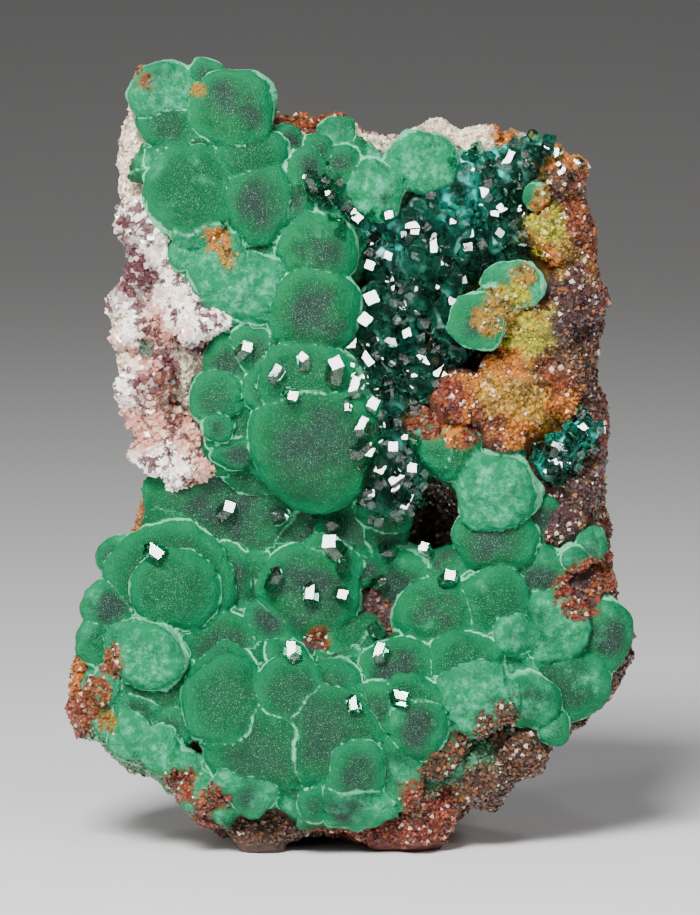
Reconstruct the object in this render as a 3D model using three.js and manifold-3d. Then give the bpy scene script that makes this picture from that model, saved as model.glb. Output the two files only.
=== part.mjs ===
// A hand specimen of dioptase: green crystals in a hollow and on the domes of a
// botryoidal malachite crust, on a gossan matrix with a patch of calcite.
// Millimetres, +Z up, the show face looks along -Y, the floor is z = 0.
import * as THREE from "three";
import { mergeVertices } from "three/addons/utils/BufferGeometryUtils.js";
import { ConvexGeometry } from "three/addons/geometries/ConvexGeometry.js";
import Module from "manifold-3d";

const wasm = await Module();
wasm.setup();

// Driving dimensions
const VIEW_TILT = THREE.MathUtils.degToRad(7); // the show face is laid out as seen from this far above
const FOOT_DEPTH = -11; // y of the front feet, where the layout's zero height meets the floor
const SINK = 0.5; // how much of the lowest knobs is broken off flat
const SHIFT = [0.285, 1.29]; // moves the box's middle onto the origin
const GAP = 0.3; // between neighbouring minerals
const CRUST = 2.8; // thickness of the malachite over the matrix
const BACK = 13; // y of the matrix's back
const DOME_RISE = 0.56; // a malachite dome's rise over its radius
const ROOT = 2.5; // how far a dome runs on behind its widest girth
const REACH = 2.5; // how far a dome's level spreads into the level of the crust around it
const SHORTEST = 0.2; // edges under this length are closed up
const CAP_STEEP = 1.233; // slope of a dioptase crystal's three end faces
const FLASH = new THREE.Vector3(-0.12, -0.9, 0.42).normalize(); // the way most crystals turn a face

// The specimen's outline on the show face: x to the right, height above the floor
const OUTLINE = [
  [-20.4, 79.3], [-16.3, 79.0], [-13.1, 78.7], [-9.4, 76.4], [-8.2, 73.9], [-5.3, 73.4], [-0.8, 73.7],
  [2.2, 72.1], [4.7, 71.9], [8.7, 73.2], [13.4, 72.1], [15.7, 72.5], [20.3, 70.6], [22.3, 68.8],
  [23.2, 65.7], [24.0, 61.7], [25.2, 53.7], [24.3, 49.4], [25.3, 43.7], [25.2, 35.7],
  [25.5, 31.2], [26.5, 25.7], [28.2, 22.2], [27.8, 19.9], [25.9, 16.5], [21.8, 12.9], [15.6, 8.2],
  [9.7, 3.5], [7.2, 1.1], [4.7, 0], [2.0, 0], [-0.3, 2.2], [-3.8, 2.3], [-6.8, 1.0], [-8.2, 0],
  [-10.2, 0], [-13.8, 3.0], [-17.8, 5.8], [-21.3, 8.8], [-25.6, 11.7], [-27.9, 14.0], [-28.3, 15.9],
  [-26.7, 20.7], [-24.9, 27.2], [-22.2, 31.7], [-21.3, 35.7], [-20.3, 38.5], [-22.2, 42.9],
  [-22.7, 47.2], [-23.6, 54.7], [-22.0, 58.7], [-21.8, 62.2], [-23.2, 66.7], [-23.3, 71.7], [-22.6, 76.7],
];
const MIDDLE = [-1, 40]; // the point that the matrix's rings run out from
const FRONT_STEPS = [0.3, 0.6, 0.85, 0.98]; // rings of the front, as shares of the way out
const BACK_STEPS = [0.96, 0.72, 0.4]; // rings of the back

// Breaks across the back: a point on the break, and the way it faces
const BREAKS = [
  [[-14, 10.6, 60], [-0.62, 0.74, 0.25]], [[14, 10.1, 58], [0.55, 0.8, 0.22]],
  [[17, 9.6, 24], [0.66, 0.72, -0.2]], [[-18, 9.6, 22], [-0.55, 0.8, -0.22]],
  [[2, 11.6, 66], [0.1, 0.86, 0.5]], [[-2, 12, 36], [-0.08, 1, 0.06]],
];

// Malachite domes of the crust: x, height, radius, how far forward the top stands, height over width
const DOMES = [
  [-18.6, 76.3, 3.2, 7.6, 1.1], [-12.1, 74.8, 3.8, 9.2, 1],
  [-10.3, 70.1, 3.4, 9.6, 0.9], [-9.2, 65.1, 3.5, 10.2, 1.1], [-18.1, 72.9, 3.0, 7.8, 0.9],
  [-16.3, 66.6, 4.4, 10.4, 1], [-15.8, 62.6, 2.4, 9.6, 1],
  [-10.4, 56.8, 4.0, 10.8, 0.9], [-13.3, 58.9, 3.0, 10.2, 1],
  [-9.8, 61.5, 2.8, 9.0, 1], [-5.4, 65.8, 1.9, 8.6, 1.2], [-4.4, 68.6, 2.1, 7.6, 1],
  [-3.3, 70.8, 1.9, 6.6, 1], [-1.0, 69.6, 2.0, 6.6, 1], 
  [2.1, 66.9, 2.7, 7.4, 1], [7.2, 69.2, 3.4, 6.6, 0.9],
  [-3.4, 60.5, 3.7, 10.0, 1], [-3.9, 54.2, 4.4, 11.0, 1], [-4.2, 47.4, 4.5, 10.9, 1],
  [-4.0, 41.2, 6.4, 12.6, 1.04], [-7.7, 47.0, 3.3, 11.0, 1], [-9.7, 50.4, 2.2, 10.4, 1],
  [-6.8, 50.4, 2.8, 10.2, 1], [-13.6, 46.0, 2.8, 9.8, 1], [-11.8, 42.6, 3.1, 10.2, 1],
  [-11.7, 40.0, 2.5, 9.4, 0.8], [-7.8, 38.9, 3.1, 9.0, 0.8],
  [-17.3, 35.7, 5.0, 6.2, 0.9], [-12.8, 35.2, 4.5, 6.0, 1], [-10.0, 37.4, 3.2, 7.6, 1],
  [-6.3, 34.2, 4.8, 6.4, 1], [-0.6, 32.6, 2.8, 7.0, 1],
  [-18.4, 27.7, 6.2, 9.4, 0.9], [-17.9, 26.7, 4.2, 10.2, 0.9], 
  [-24.4, 24.7, 2.9, 8.6, 1], [-20.6, 20.1, 3.2, 12.6, 1], [-13.4, 21.1, 3.9, 10.6, 0.9],
  [-19.8, 17.4, 4.0, 12.0, 1], [-25.5, 21.2, 2.5, 9.2, 1],
  [-22.0, 12.0, 2.3, 12.6, 1], [-19.3, 10.7, 2.3, 13.4, 1],
  [-4.4, 26.4, 4.9, 8.8, 1], [-9.1, 27.2, 3.6, 7.6, 1], [-12.6, 15.8, 4.2, 14.6, 1.05],
  [-9.2, 10.8, 5.3, 16.0, 0.85], [-6.0, 16.6, 3.5, 15.0, 1], [-2.2, 18.1, 2.6, 13.6, 1],
  [-2.8, 12.4, 5.5, 16.2, 0.9], [0.3, 8.2, 2.9, 16.6, 1], [0.2, 4.9, 3.5, 16.0, 0.8],
  [-10.2, 6.2, 2.2, 15.4, 1],
  [8.3, 24.3, 4.2, 9.8, 0.85], [4.3, 18.7, 3.8, 12.8, 0.95], [11.2, 19.5, 3.8, 12.4, 0.8],
  [5.6, 15.8, 3.0, 14.2, 0.9], [1.9, 14.9, 2.6, 14.6, 1.1], [6.1, 13.2, 3.0, 15.2, 1],
  [4.2, 8.4, 2.8, 15.6, 1.2], [12.5, 16.1, 4.1, 14.2, 0.85], [14.6, 25.3, 3.8, 10.4, 0.85],
  [14.1, 36.2, 3.7, 10.4, 1], [14.1, 31.8, 3.9, 9.2, 0.95], [18.6, 27.2, 3.1, 9.2, 1.2],
  [19.9, 23.0, 3.6, 10.0, 1], [25.2, 22.2, 3.0, 8.4, 1.1], [21.5, 17.2, 4.2, 9.8, 0.85],
  [17.3, 15.5, 3.2, 11.6, 0.8],
  [-12.6, 28.0, 3.4, 8.4, 1], [-13.0, 18.4, 3.4, 12.6, 1], [-2.2, 29.8, 3.0, 8.2, 1],
  [-23.0, 20.8, 2.8, 11.0, 1], [-21.4, 14.2, 2.7, 12.4, 1],
  [6.3, 42.7, 2.4, 10.0, 1], [10.4, 40.4, 2.7, 9.8, 1],
];
// Domes that stand by themselves on the right
const DISC = [[12.3, 53.7, 2.6, 8.8, 1], [15.7, 57.2, 2.7, 8.2, 0.8], [14.2, 55.4, 2.2, 8.2, 1]];
const BUD = [[18.1, 65.6, 1.5, 7.6, 1.2]];

// How far forward the face stands where no malachite grows: x, height, forward
const BARE = [
  [8, 62, 3.5], [5, 55, 4.5], [3, 48, 7], [2, 41, 8.5], [4, 36, 8], [14, 67, 4], [22, 66, 6], [22, 58, 7],
  [22, 48, 7.5], [13, 44, 9.5], [22, 37, 7], [8, 34, 1], [-2, 72, 4], [12, 72, 3.5], [-21, 60, 6.5],
  [-20, 52, 8], [-21, 44, 7.5], [-19, 40, 7], [10, 6, 13], [16, 11, 12], [-9, 1.5, 14], [4, 1, 14],
  [-21, 9, 12], [0, 3, 14], [12.3, 49.8, 2], [2.5, 25, 5.5], [-3, 21.5, 8],
];

// Knobs of the matrix that show bare: x, height, radius, forward
const KNOBS = [
  [20.6, 67.8, 2.8, 5.4], [20.6, 62.6, 3.5, 6.6], [21.6, 55.6, 3.9, 7.4], [18.2, 52.2, 3.7, 8.4],
  [20.9, 48.4, 4.1, 8.0], [15.8, 45.9, 4.0, 9.9], [10.2, 45.6, 3.5, 10.2], [14.4, 41.9, 3.1, 9.6],
  [22.2, 36.7, 3.2, 7.1], [20.8, 33.0, 3.6, 8.0], [22.8, 26.6, 3.4, 8.6], [-5.0, 71.2, 2.8, 4.2],
  [12.4, 70.2, 3.2, 3.8], [11.7, 8.9, 4.0, 12.2], [16.2, 11.4, 3.8, 11.2], [6.6, 4.4, 4.2, 13.0],
  [-9.1, 2.2, 2.8, 12.6], [-13.6, 5.4, 3.2, 13.0], [-25.5, 14.8, 2.8, 10.2],
];

// Calcite blocks: x, height, half width, forward
const CALCITE = [
  [-20.2, 63.6, 2.4, 6.2], [-19.6, 60.2, 2.4, 7.0], [-20.6, 56.0, 2.6, 6.8], [-16.6, 55.6, 2.6, 8.4],
  [-20.4, 52.2, 2.4, 7.4], [-15.4, 53.2, 2.4, 9.2], [-19.2, 48.8, 2.6, 7.8], [-19.6, 45.2, 2.4, 7.6],
  [-17.6, 42.8, 2.4, 8.0], [-16.4, 40.4, 2.2, 8.2], [-19.4, 41.4, 2.0, 7.4],
];

// The bed of small crystals in the hollow: x, height, radius, forward
const BED = [
  [-2.4, 65.6, 2.8, 7.2], [2.4, 62.4, 3.8, 5.7], [7.4, 63.6, 4.2, 4.9], [13.6, 66.8, 4.6, 5.0],
  [13.2, 61.6, 4.4, 5.1], [6.6, 57.6, 4.6, 5.5], [9.0, 53.2, 4.2, 5.9], [3.2, 53.8, 3.4, 7.3],
  [6.6, 49.8, 3.4, 7.4], [2.0, 49.4, 3.2, 8.9], [2.6, 44.8, 3.2, 10.2], [2.9, 41.2, 2.8, 11.0],
  [3.6, 37.8, 3.0, 11.3],
];
const SIDE_BED = [[22.4, 41.9, 2.2, 7.4], [20.4, 39.7, 2.2, 7.8]];

// The crystals of the hollow that turn a bright face forward: x, height, width
const BRIGHT = [
  [-4.0, 67.3, 1.8], [-1.6, 64.2, 1.8], [5.0, 63.9, 1.8], [2.3, 61.0, 1.8], [9.8, 58.6, 1.8],
  [2.1, 56.2, 2.1], [1.3, 53.3, 2.0], [0.1, 50.5, 1.8], [8.8, 51.7, 1.8], [6.4, 55.3, 1.8],
  [12.6, 66.6, 1.8], [15.5, 69.0, 1.8], [16.3, 60.6, 2.1], [13.2, 62.5, 1.8], [4.4, 49.0, 1.8],
  [0.9, 46.4, 1.8], [3.7, 45.6, 1.8], [2.4, 42.8, 1.8], [1.5, 40.2, 1.8], [4.3, 39.8, 1.8], [2.6, 36.9, 1.8],
];
const SIDE_BRIGHT = [[22.4, 42.0, 1.4], [21.0, 40.6, 1.4], [23.1, 42.9, 1.1], [19.9, 39.2, 1.2]];

// Crystals that sit singly on the domes and the calcite: x, height, width, length
const SINGLES = [
  [-10.6, 50.5, 1.5, 1.9], [-7.6, 48.0, 1.3, 1.8], [-5.9, 45.7, 1.5, 1.9], [-4.8, 49.5, 1.3, 1.7],
  [-12.4, 34.5, 1.6, 2.0], [-7.0, 33.9, 1.5, 1.9], [-3.3, 34.0, 1.5, 1.9], [-1.4, 33.2, 1.5, 1.9],
  [-2.0, 31.0, 2.0, 2.4], [-0.9, 28.5, 1.4, 1.8], [-7.7, 27.8, 1.4, 2.6], [-4.1, 26.4, 1.5, 1.9],
  [-1.0, 25.9, 1.5, 1.9], [-6.0, 20.2, 1.6, 2.0], [2.5, 22.2, 1.5, 1.9], [2.7, 20.1, 1.5, 1.9],
  [4.6, 15.9, 1.5, 1.9], [0.1, 15.4, 1.3, 1.7], [9.8, 27.8, 1.6, 2.0], [7.2, 30.5, 1.4, 1.8],
  [3.3, 30.6, 1.5, 1.9], [2.9, 27.2, 1.4, 1.8], [-19.8, 30.4, 1.8, 2.2], [-20.5, 51.0, 1.5, 1.9],
];

// A small repeatable source of scatter
let seed = 7;
function scatter() {
  seed = (seed * 16807) % 2147483647;
  return seed / 2147483647;
}
function between(low, high) {
  return low + (high - low) * scatter();
}

// A point of the show face: x, height as seen, and how far forward it stands
function onFace(x, height, forward) {
  const rise = (-forward - FOOT_DEPTH) * Math.sin(VIEW_TILT);
  const z = (height - rise) / Math.cos(VIEW_TILT) - SINK;
  return new THREE.Vector3(x, -forward, z);
}

const posts = [...DOMES.map(([x, h, r, forward]) => [x, h, forward]), ...BARE];

// How far forward the crust stands at a place on the show face
function level(x, height) {
  let sum = 0;
  let weights = 0;
  for (const [px, ph, forward] of posts) {
    const near = (x - px) ** 2 + (height - ph) ** 2 + REACH ** 2;
    const weight = 1 / near ** 2;
    sum += weight * forward;
    weights += weight;
  }
  return sum / weights;
}

// The way the crust faces there
function facing(x, height) {
  const step = 1.5;
  const across = (level(x + step, height) - level(x - step, height)) / (2 * step);
  const up = (level(x, height + step) - level(x, height - step)) / (2 * step);
  return new THREE.Vector3(-across, -1, -up).normalize();
}

// Geometry with one vertex at each corner
function welded(geometry) {
  geometry.deleteAttribute("normal");
  geometry.deleteAttribute("uv");
  return mergeVertices(geometry, 1e-4);
}

function solid(geometry) {
  const whole = welded(geometry.clone());
  return new wasm.Manifold(new wasm.Mesh({
    numProp: 3,
    vertProperties: new Float32Array(whole.attributes.position.array),
    triVerts: new Uint32Array(whole.index.array),
  }));
}

function joined(solids) {
  return wasm.Manifold.union(solids);
}

// The largest body of a shape that a cut has left in pieces
function largest(shape) {
  return shape.decompose().reduce((best, one) => (one.volume() > best.volume() ? one : best));
}

// A dome: rings of corners from the top down to the widest girth, and a root behind it
function dome([x, height, radius, forward, tall], grow) {
  const rise = radius * DOME_RISE + grow;
  const girth = radius + grow;
  const corners = [new THREE.Vector3(0, 0, rise)];
  const ring = (count, share, deep) => {
    for (let i = 0; i < count; i += 1) {
      const turn = ((i + x) / count) * 2 * Math.PI;
      const arm = girth * share;
      corners.push(new THREE.Vector3(arm * Math.cos(turn), arm * tall * Math.sin(turn), deep));
    }
  };
  ring(5, 0.62, rise * 0.8);
  ring(8, 1, 0);
  ring(4, 0.85, -rise - ROOT);
  const out = facing(x, height);
  const turn = new THREE.Matrix4().lookAt(out, new THREE.Vector3(), new THREE.Vector3(0, 0, 1));
  const centre = onFace(x, height, forward).addScaledVector(out, -radius * DOME_RISE);
  return solid(new ConvexGeometry(corners).applyMatrix4(turn.setPosition(centre)));
}

// A lump with its corners pushed in and out
function lump([x, height, radius, forward], rough, deep, grow) {
  const geometry = welded(new THREE.IcosahedronGeometry(1, 0));
  const place = geometry.attributes.position;
  for (let i = 0; i < place.count; i += 1) {
    const size = radius * (1.1 + rough * Math.sin(i * 12.9 + x * 7.1 + height * 3.3)) + grow;
    place.setXYZ(i, place.getX(i) * size, place.getY(i) * size, place.getZ(i) * size);
  }
  geometry.rotateZ(x + height);
  geometry.scale(1, deep, 1);
  const centre = onFace(x, height, forward - radius * deep);
  geometry.translate(centre.x, centre.y, centre.z);
  return solid(geometry);
}

// A block turned at an odd angle
function block([x, height, half, forward], grow) {
  const wide = 2 * half + 2 * grow;
  const geometry = new THREE.BoxGeometry(wide, wide * 0.9, wide * 1.15);
  geometry.rotateX(x * 2.1).rotateY(height * 1.7).rotateZ(x + height);
  const centre = onFace(x, height, forward - half);
  geometry.translate(centre.x, centre.y, centre.z);
  return solid(geometry);
}

// A dioptase crystal: a six-sided prism with three rhombic end faces, standing on its foot
function crystal(width, length) {
  const arm = width / 2;
  const corners = [new THREE.Vector3(0, 0, length)];
  for (let i = 0; i < 6; i += 1) {
    const turn = (i * Math.PI) / 3;
    const drop = i % 2 === 0 ? CAP_STEEP * arm : 0.5 * CAP_STEEP * arm;
    corners.push(new THREE.Vector3(arm * Math.cos(turn), arm * Math.sin(turn), length - drop));
    corners.push(new THREE.Vector3(arm * Math.cos(turn), arm * Math.sin(turn), 0));
  }
  return new ConvexGeometry(corners);
}

// A crystal at a point, with an end face or a side turned one way and its middle lifted that way
function planted(point, width, length, towards, lift) {
  const endFace = scatter() < 0.6;
  const face = new THREE.Vector3(...(endFace ? [CAP_STEEP, 0, 1] : [Math.cos(Math.PI / 6), 0.5, 0]));
  const lay = new THREE.Quaternion().setFromUnitVectors(face.normalize(), towards);
  const spin = new THREE.Quaternion().setFromAxisAngle(towards, between(0, 6.28));
  const geometry = crystal(width, length).translate(0, 0, -0.5 * length);
  geometry.applyQuaternion(spin.multiply(lay));
  const middle = point.clone().addScaledVector(towards, lift * width);
  return solid(geometry.translate(middle.x, middle.y, middle.z));
}

// A direction within a cone around another one
function near(direction, spread) {
  const stray = direction.toArray().map((value) => value + between(-spread, spread));
  return new THREE.Vector3(...stray).normalize();
}

// The body of the matrix: rings from the middle of the front, over the edge, to the middle of the back
function core(grow) {
  const count = OUTLINE.length;
  const points = [];
  const ring = (share, forwardAt) => OUTLINE.forEach(([ox, oh]) => {
    const x = MIDDLE[0] + (ox - MIDDLE[0]) * share;
    const height = MIDDLE[1] + (oh - MIDDLE[1]) * share;
    points.push(onFace(x, height, forwardAt(x, height)));
  });
  const wave = (x, height) => Math.sin(x * 0.43 + height * 0.21) + Math.sin(x * 0.2 - height * 0.37 + 2);
  const front = (x, height) => level(x, height) - CRUST * Math.min(-1 / facing(x, height).y, 2);
  points.push(onFace(...MIDDLE, front(...MIDDLE)));
  FRONT_STEPS.forEach((share) => ring(share, front));
  ring(1, (x, height) => front(x, height) * 0.5 - 2);
  ring(0.985, (x, height) => -BACK * 0.6 + 1.5 * wave(x, height));
  BACK_STEPS.forEach((share) => ring(share, (x, height) => -BACK * (1 - 0.2 * share ** 3) + wave(x, height)));
  points.push(onFace(...MIDDLE, -BACK));
  const rings = FRONT_STEPS.length + BACK_STEPS.length + 2;
  const first = (k) => 1 + k * count;
  const index = [];
  for (let i = 0; i < count; i += 1) {
    const next = (i + 1) % count;
    index.push(0, first(0) + next, first(0) + i);
    for (let k = 0; k < rings - 1; k += 1) {
      index.push(first(k) + i, first(k) + next, first(k + 1) + next);
      index.push(first(k) + i, first(k + 1) + next, first(k + 1) + i);
    }
    index.push(points.length - 1, first(rings - 1) + i, first(rings - 1) + next);
  }
  const geometry = new THREE.BufferGeometry().setFromPoints(points);
  geometry.setIndex(index);
  geometry.computeVertexNormals();
  const place = geometry.attributes.position;
  const out = geometry.attributes.normal;
  for (let i = 0; i < place.count; i += 1) {
    const moved = new THREE.Vector3().fromBufferAttribute(out, i).multiplyScalar(grow);
    moved.add(new THREE.Vector3().fromBufferAttribute(place, i));
    place.setXYZ(i, moved.x, moved.y, moved.z);
  }
  return solid(geometry);
}

// Everything on the far side of a flat break
function beyond([point, out]) {
  const geometry = new THREE.BoxGeometry(120, 120, 30).translate(0, 0, 15);
  const up = new THREE.Vector3(0, 0, 1);
  const lay = new THREE.Quaternion().setFromUnitVectors(up, new THREE.Vector3(...out).normalize());
  geometry.applyQuaternion(lay);
  geometry.translate(point[0], point[1], point[2]);
  return solid(geometry);
}

function meshOf(shape, colour, roughness) {
  const { vertProperties, triVerts } = shape.getMesh();
  const geometry = new THREE.BufferGeometry();
  geometry.setAttribute("position", new THREE.BufferAttribute(vertProperties.slice(), 3));
  geometry.setIndex(new THREE.BufferAttribute(triVerts.slice(), 1));
  geometry.computeVertexNormals();
  return new THREE.Mesh(geometry, new THREE.MeshStandardMaterial({ color: colour, roughness, metalness: 0 }));
}

// Where the line of sight through a place on the show face first meets one of the shapes
function touched(meshes, x, height) {
  const from = onFace(x, height, 40);
  const sight = onFace(x, height, 0).sub(from).normalize();
  return new THREE.Raycaster(from, sight).intersectObjects(meshes)[0];
}

// The same shape without the shortest edges that joins and cuts leave behind
function trimmed(shape) {
  const { vertProperties, triVerts } = shape.getMesh();
  const corner = (i) => new THREE.Vector3().fromArray(vertProperties, 3 * i);
  let faces = [];
  for (let i = 0; i < triVerts.length; i += 3) {
    faces.push([triVerts[i], triVerts[i + 1], triVerts[i + 2]]);
  }
  for (let pass = 0; pass < 12; pass += 1) {
    const goes = new Map();
    const held = new Set();
    for (const face of faces) {
      for (let k = 0; k < 3; k += 1) {
        const a = face[k];
        const b = face[(k + 1) % 3];
        const free = !held.has(a) && !held.has(b);
        if (free && corner(a).distanceTo(corner(b)) < SHORTEST) {
          goes.set(b, a);
          face.forEach((one) => held.add(one));
          held.add(b);
        }
      }
    }
    if (goes.size === 0) break;
    faces = faces.map((face) => face.map((one) => goes.get(one) ?? one));
    faces = faces.filter(([a, b, c]) => a !== b && b !== c && c !== a);
    const twins = new Map();
    faces.forEach((face) => {
      const key = [...face].sort((a, b) => a - b).join(" ");
      twins.set(key, (twins.get(key) ?? 0) + 1);
    });
    faces = faces.filter((face) => twins.get([...face].sort((a, b) => a - b).join(" ")) === 1);
  }
  return solid(new THREE.BufferGeometry()
    .setAttribute("position", new THREE.BufferAttribute(new Float32Array(vertProperties), 3))
    .setIndex(faces.flat()));
}

const group = new THREE.Group();
function keep(name, whole, colour, roughness) {
  const shape = largest(trimmed(whole));
  const mesh = meshOf(shape, colour, roughness);
  mesh.name = name;
  group.add(mesh);
  return mesh;
}

// Matrix, broken across the back and flat under its feet
const matrixOf = (grow) => joined([core(grow * 1.2), ...KNOBS.map((knob) => lump(knob, 0.12, 1, grow))]);
const below = (z) => beyond([[0, 0, z], [0, 0, -1]]);
const broken = joined([...BREAKS.map(beyond), below(0)]);
const matrixMesh = keep("gossan_matrix", matrixOf(0).subtract(broken), 0x7a4526, 0.9);
const aroundMatrix = matrixOf(GAP).add(below(2 * GAP));

// Malachite
const domesOf = (list, grow) => joined(list.map((one) => dome(one, grow)));
const crustMesh = keep("malachite_crust", domesOf(DOMES, 0).subtract(aroundMatrix), 0x2c6b4e, 0.7);
keep("malachite_disc", domesOf(DISC, 0).subtract(aroundMatrix), 0x6fb48c, 0.75);
keep("malachite_bud", domesOf(BUD, 0).subtract(aroundMatrix), 0x4f9a74, 0.75);
const aroundMalachite = domesOf([...DOMES, ...DISC, ...BUD], GAP);
const around = aroundMatrix.add(aroundMalachite);

// Calcite
const calciteOf = (grow) => joined(CALCITE.map((one) => block(one, grow)));
const calciteMesh = keep("calcite_patch", calciteOf(0).subtract(around), 0xe6d6d2, 0.5);

// Dioptase in the hollow and on the right side: a bed of lumps with crystals standing on it
function druse(bed, bright) {
  const lumps = joined(bed.map((one) => lump(one, 0.08, 0.62, 0)));
  const ground = [meshOf(lumps, 0xffffff, 1), matrixMesh, crustMesh];
  const crystals = bright.map(([x, height, width]) => {
    const { point } = touched(ground, x, height);
    return planted(point, width, width * 1.4, near(FLASH, 0.12), 0.15);
  });
  return joined([lumps, ...crystals]).subtract(around);
}
keep("dioptase_druse", druse(BED, BRIGHT), 0x0c5a4c, 0.1);
keep("dioptase_druse_right", druse(SIDE_BED, SIDE_BRIGHT), 0x0c5a4c, 0.1);

// Dioptase crystals that sit singly
const aroundAll = around.add(calciteOf(GAP));
SINGLES.forEach(([x, height, width, length], i) => {
  const hit = touched([matrixMesh, crustMesh, calciteMesh], x, height);
  const whole = planted(hit.point, width, length, near(FLASH, 0.1), 0.4);
  const foot = hit.point.clone().addScaledVector(hit.face.normal, 1.3 * GAP);
  const standing = whole.subtract(beyond([foot.toArray(), hit.face.normal.clone().negate().toArray()]));
  const shape = standing.intersect(aroundAll).isEmpty() ? standing : standing.subtract(aroundAll);
  keep(`dioptase_crystal_${String(i + 1).padStart(2, "0")}`, shape, 0x0c5a4c, 0.1);
});
group.children.forEach((mesh) => mesh.geometry.translate(SHIFT[0], SHIFT[1], 0));

export default group;
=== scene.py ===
import math
import bpy
import numpy as np
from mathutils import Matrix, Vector
from mathutils.bvhtree import BVHTree


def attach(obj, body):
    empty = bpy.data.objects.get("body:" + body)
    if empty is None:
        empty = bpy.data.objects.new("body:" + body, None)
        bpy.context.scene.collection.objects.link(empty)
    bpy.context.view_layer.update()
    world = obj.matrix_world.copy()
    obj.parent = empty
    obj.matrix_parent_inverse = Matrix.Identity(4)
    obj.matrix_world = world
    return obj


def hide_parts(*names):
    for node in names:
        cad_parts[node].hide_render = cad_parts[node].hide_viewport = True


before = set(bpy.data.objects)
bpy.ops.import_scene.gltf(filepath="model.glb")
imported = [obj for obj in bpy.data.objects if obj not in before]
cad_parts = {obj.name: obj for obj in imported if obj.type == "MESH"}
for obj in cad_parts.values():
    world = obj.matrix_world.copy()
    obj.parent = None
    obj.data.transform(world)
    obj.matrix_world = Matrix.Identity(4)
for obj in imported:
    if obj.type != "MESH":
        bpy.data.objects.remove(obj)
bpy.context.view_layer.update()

mm = 0.001
viewTilt = math.radians(7)  # the show face is laid out as seen from this far above
footDepth = -11.0  # y of the front feet, where the layout's zero height meets the floor
sink = 0.5
shift = np.array([0.285, 1.29, 0.0])
keyWay = np.array([-0.227, -0.707, 0.671])  # towards the main light
flash = np.array([-0.12, -0.9, 0.42])  # the way most crystals turn a face
flash = flash / np.linalg.norm(flash)


# layout of the show face, in millimetres
def onFace(x, height, forward):
    x, height, forward = np.broadcast_arrays(*[np.asarray(v, float) for v in (x, height, forward)])
    rise = (-forward - footDepth) * math.sin(viewTilt)
    z = (height - rise) / math.cos(viewTilt) - sink
    return np.stack([x, -forward, z], -1) + shift


def seenAt(points):
    flat = points - shift
    rise = (flat[..., 1] - footDepth) * math.sin(viewTilt)
    return flat[..., 0], (flat[..., 2] + sink) * math.cos(viewTilt) + rise, -flat[..., 1]


def unit(v):
    return v / np.linalg.norm(v, axis=-1, keepdims=True)


def smooth(low, high, v):
    t = np.clip((v - low) / (high - low), 0, 1)
    return t * t * (3 - 2 * t)


latticeSize = 32


def valueNoise(points, size, seed):
    grid = np.random.default_rng(seed).random((latticeSize,) * 3).astype(np.float32) * 2 - 1
    p = points / size + 100.5
    low = np.floor(p).astype(int)
    t = p - low
    t = t * t * (3 - 2 * t)
    total = 0
    for corner in range(8):
        bits = [(corner >> k) & 1 for k in range(3)]
        index = tuple((low[..., k] + bits[k]) % latticeSize for k in range(3))
        weight = 1
        for k in range(3):
            weight = weight * (t[..., k] if bits[k] else 1 - t[..., k])
        total = total + weight * grid[index]
    return total


def layered(points, size, seed, octaves):
    return sum(valueNoise(points, size / 2 ** k, seed + k) / 2 ** k for k in range(octaves))


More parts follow.
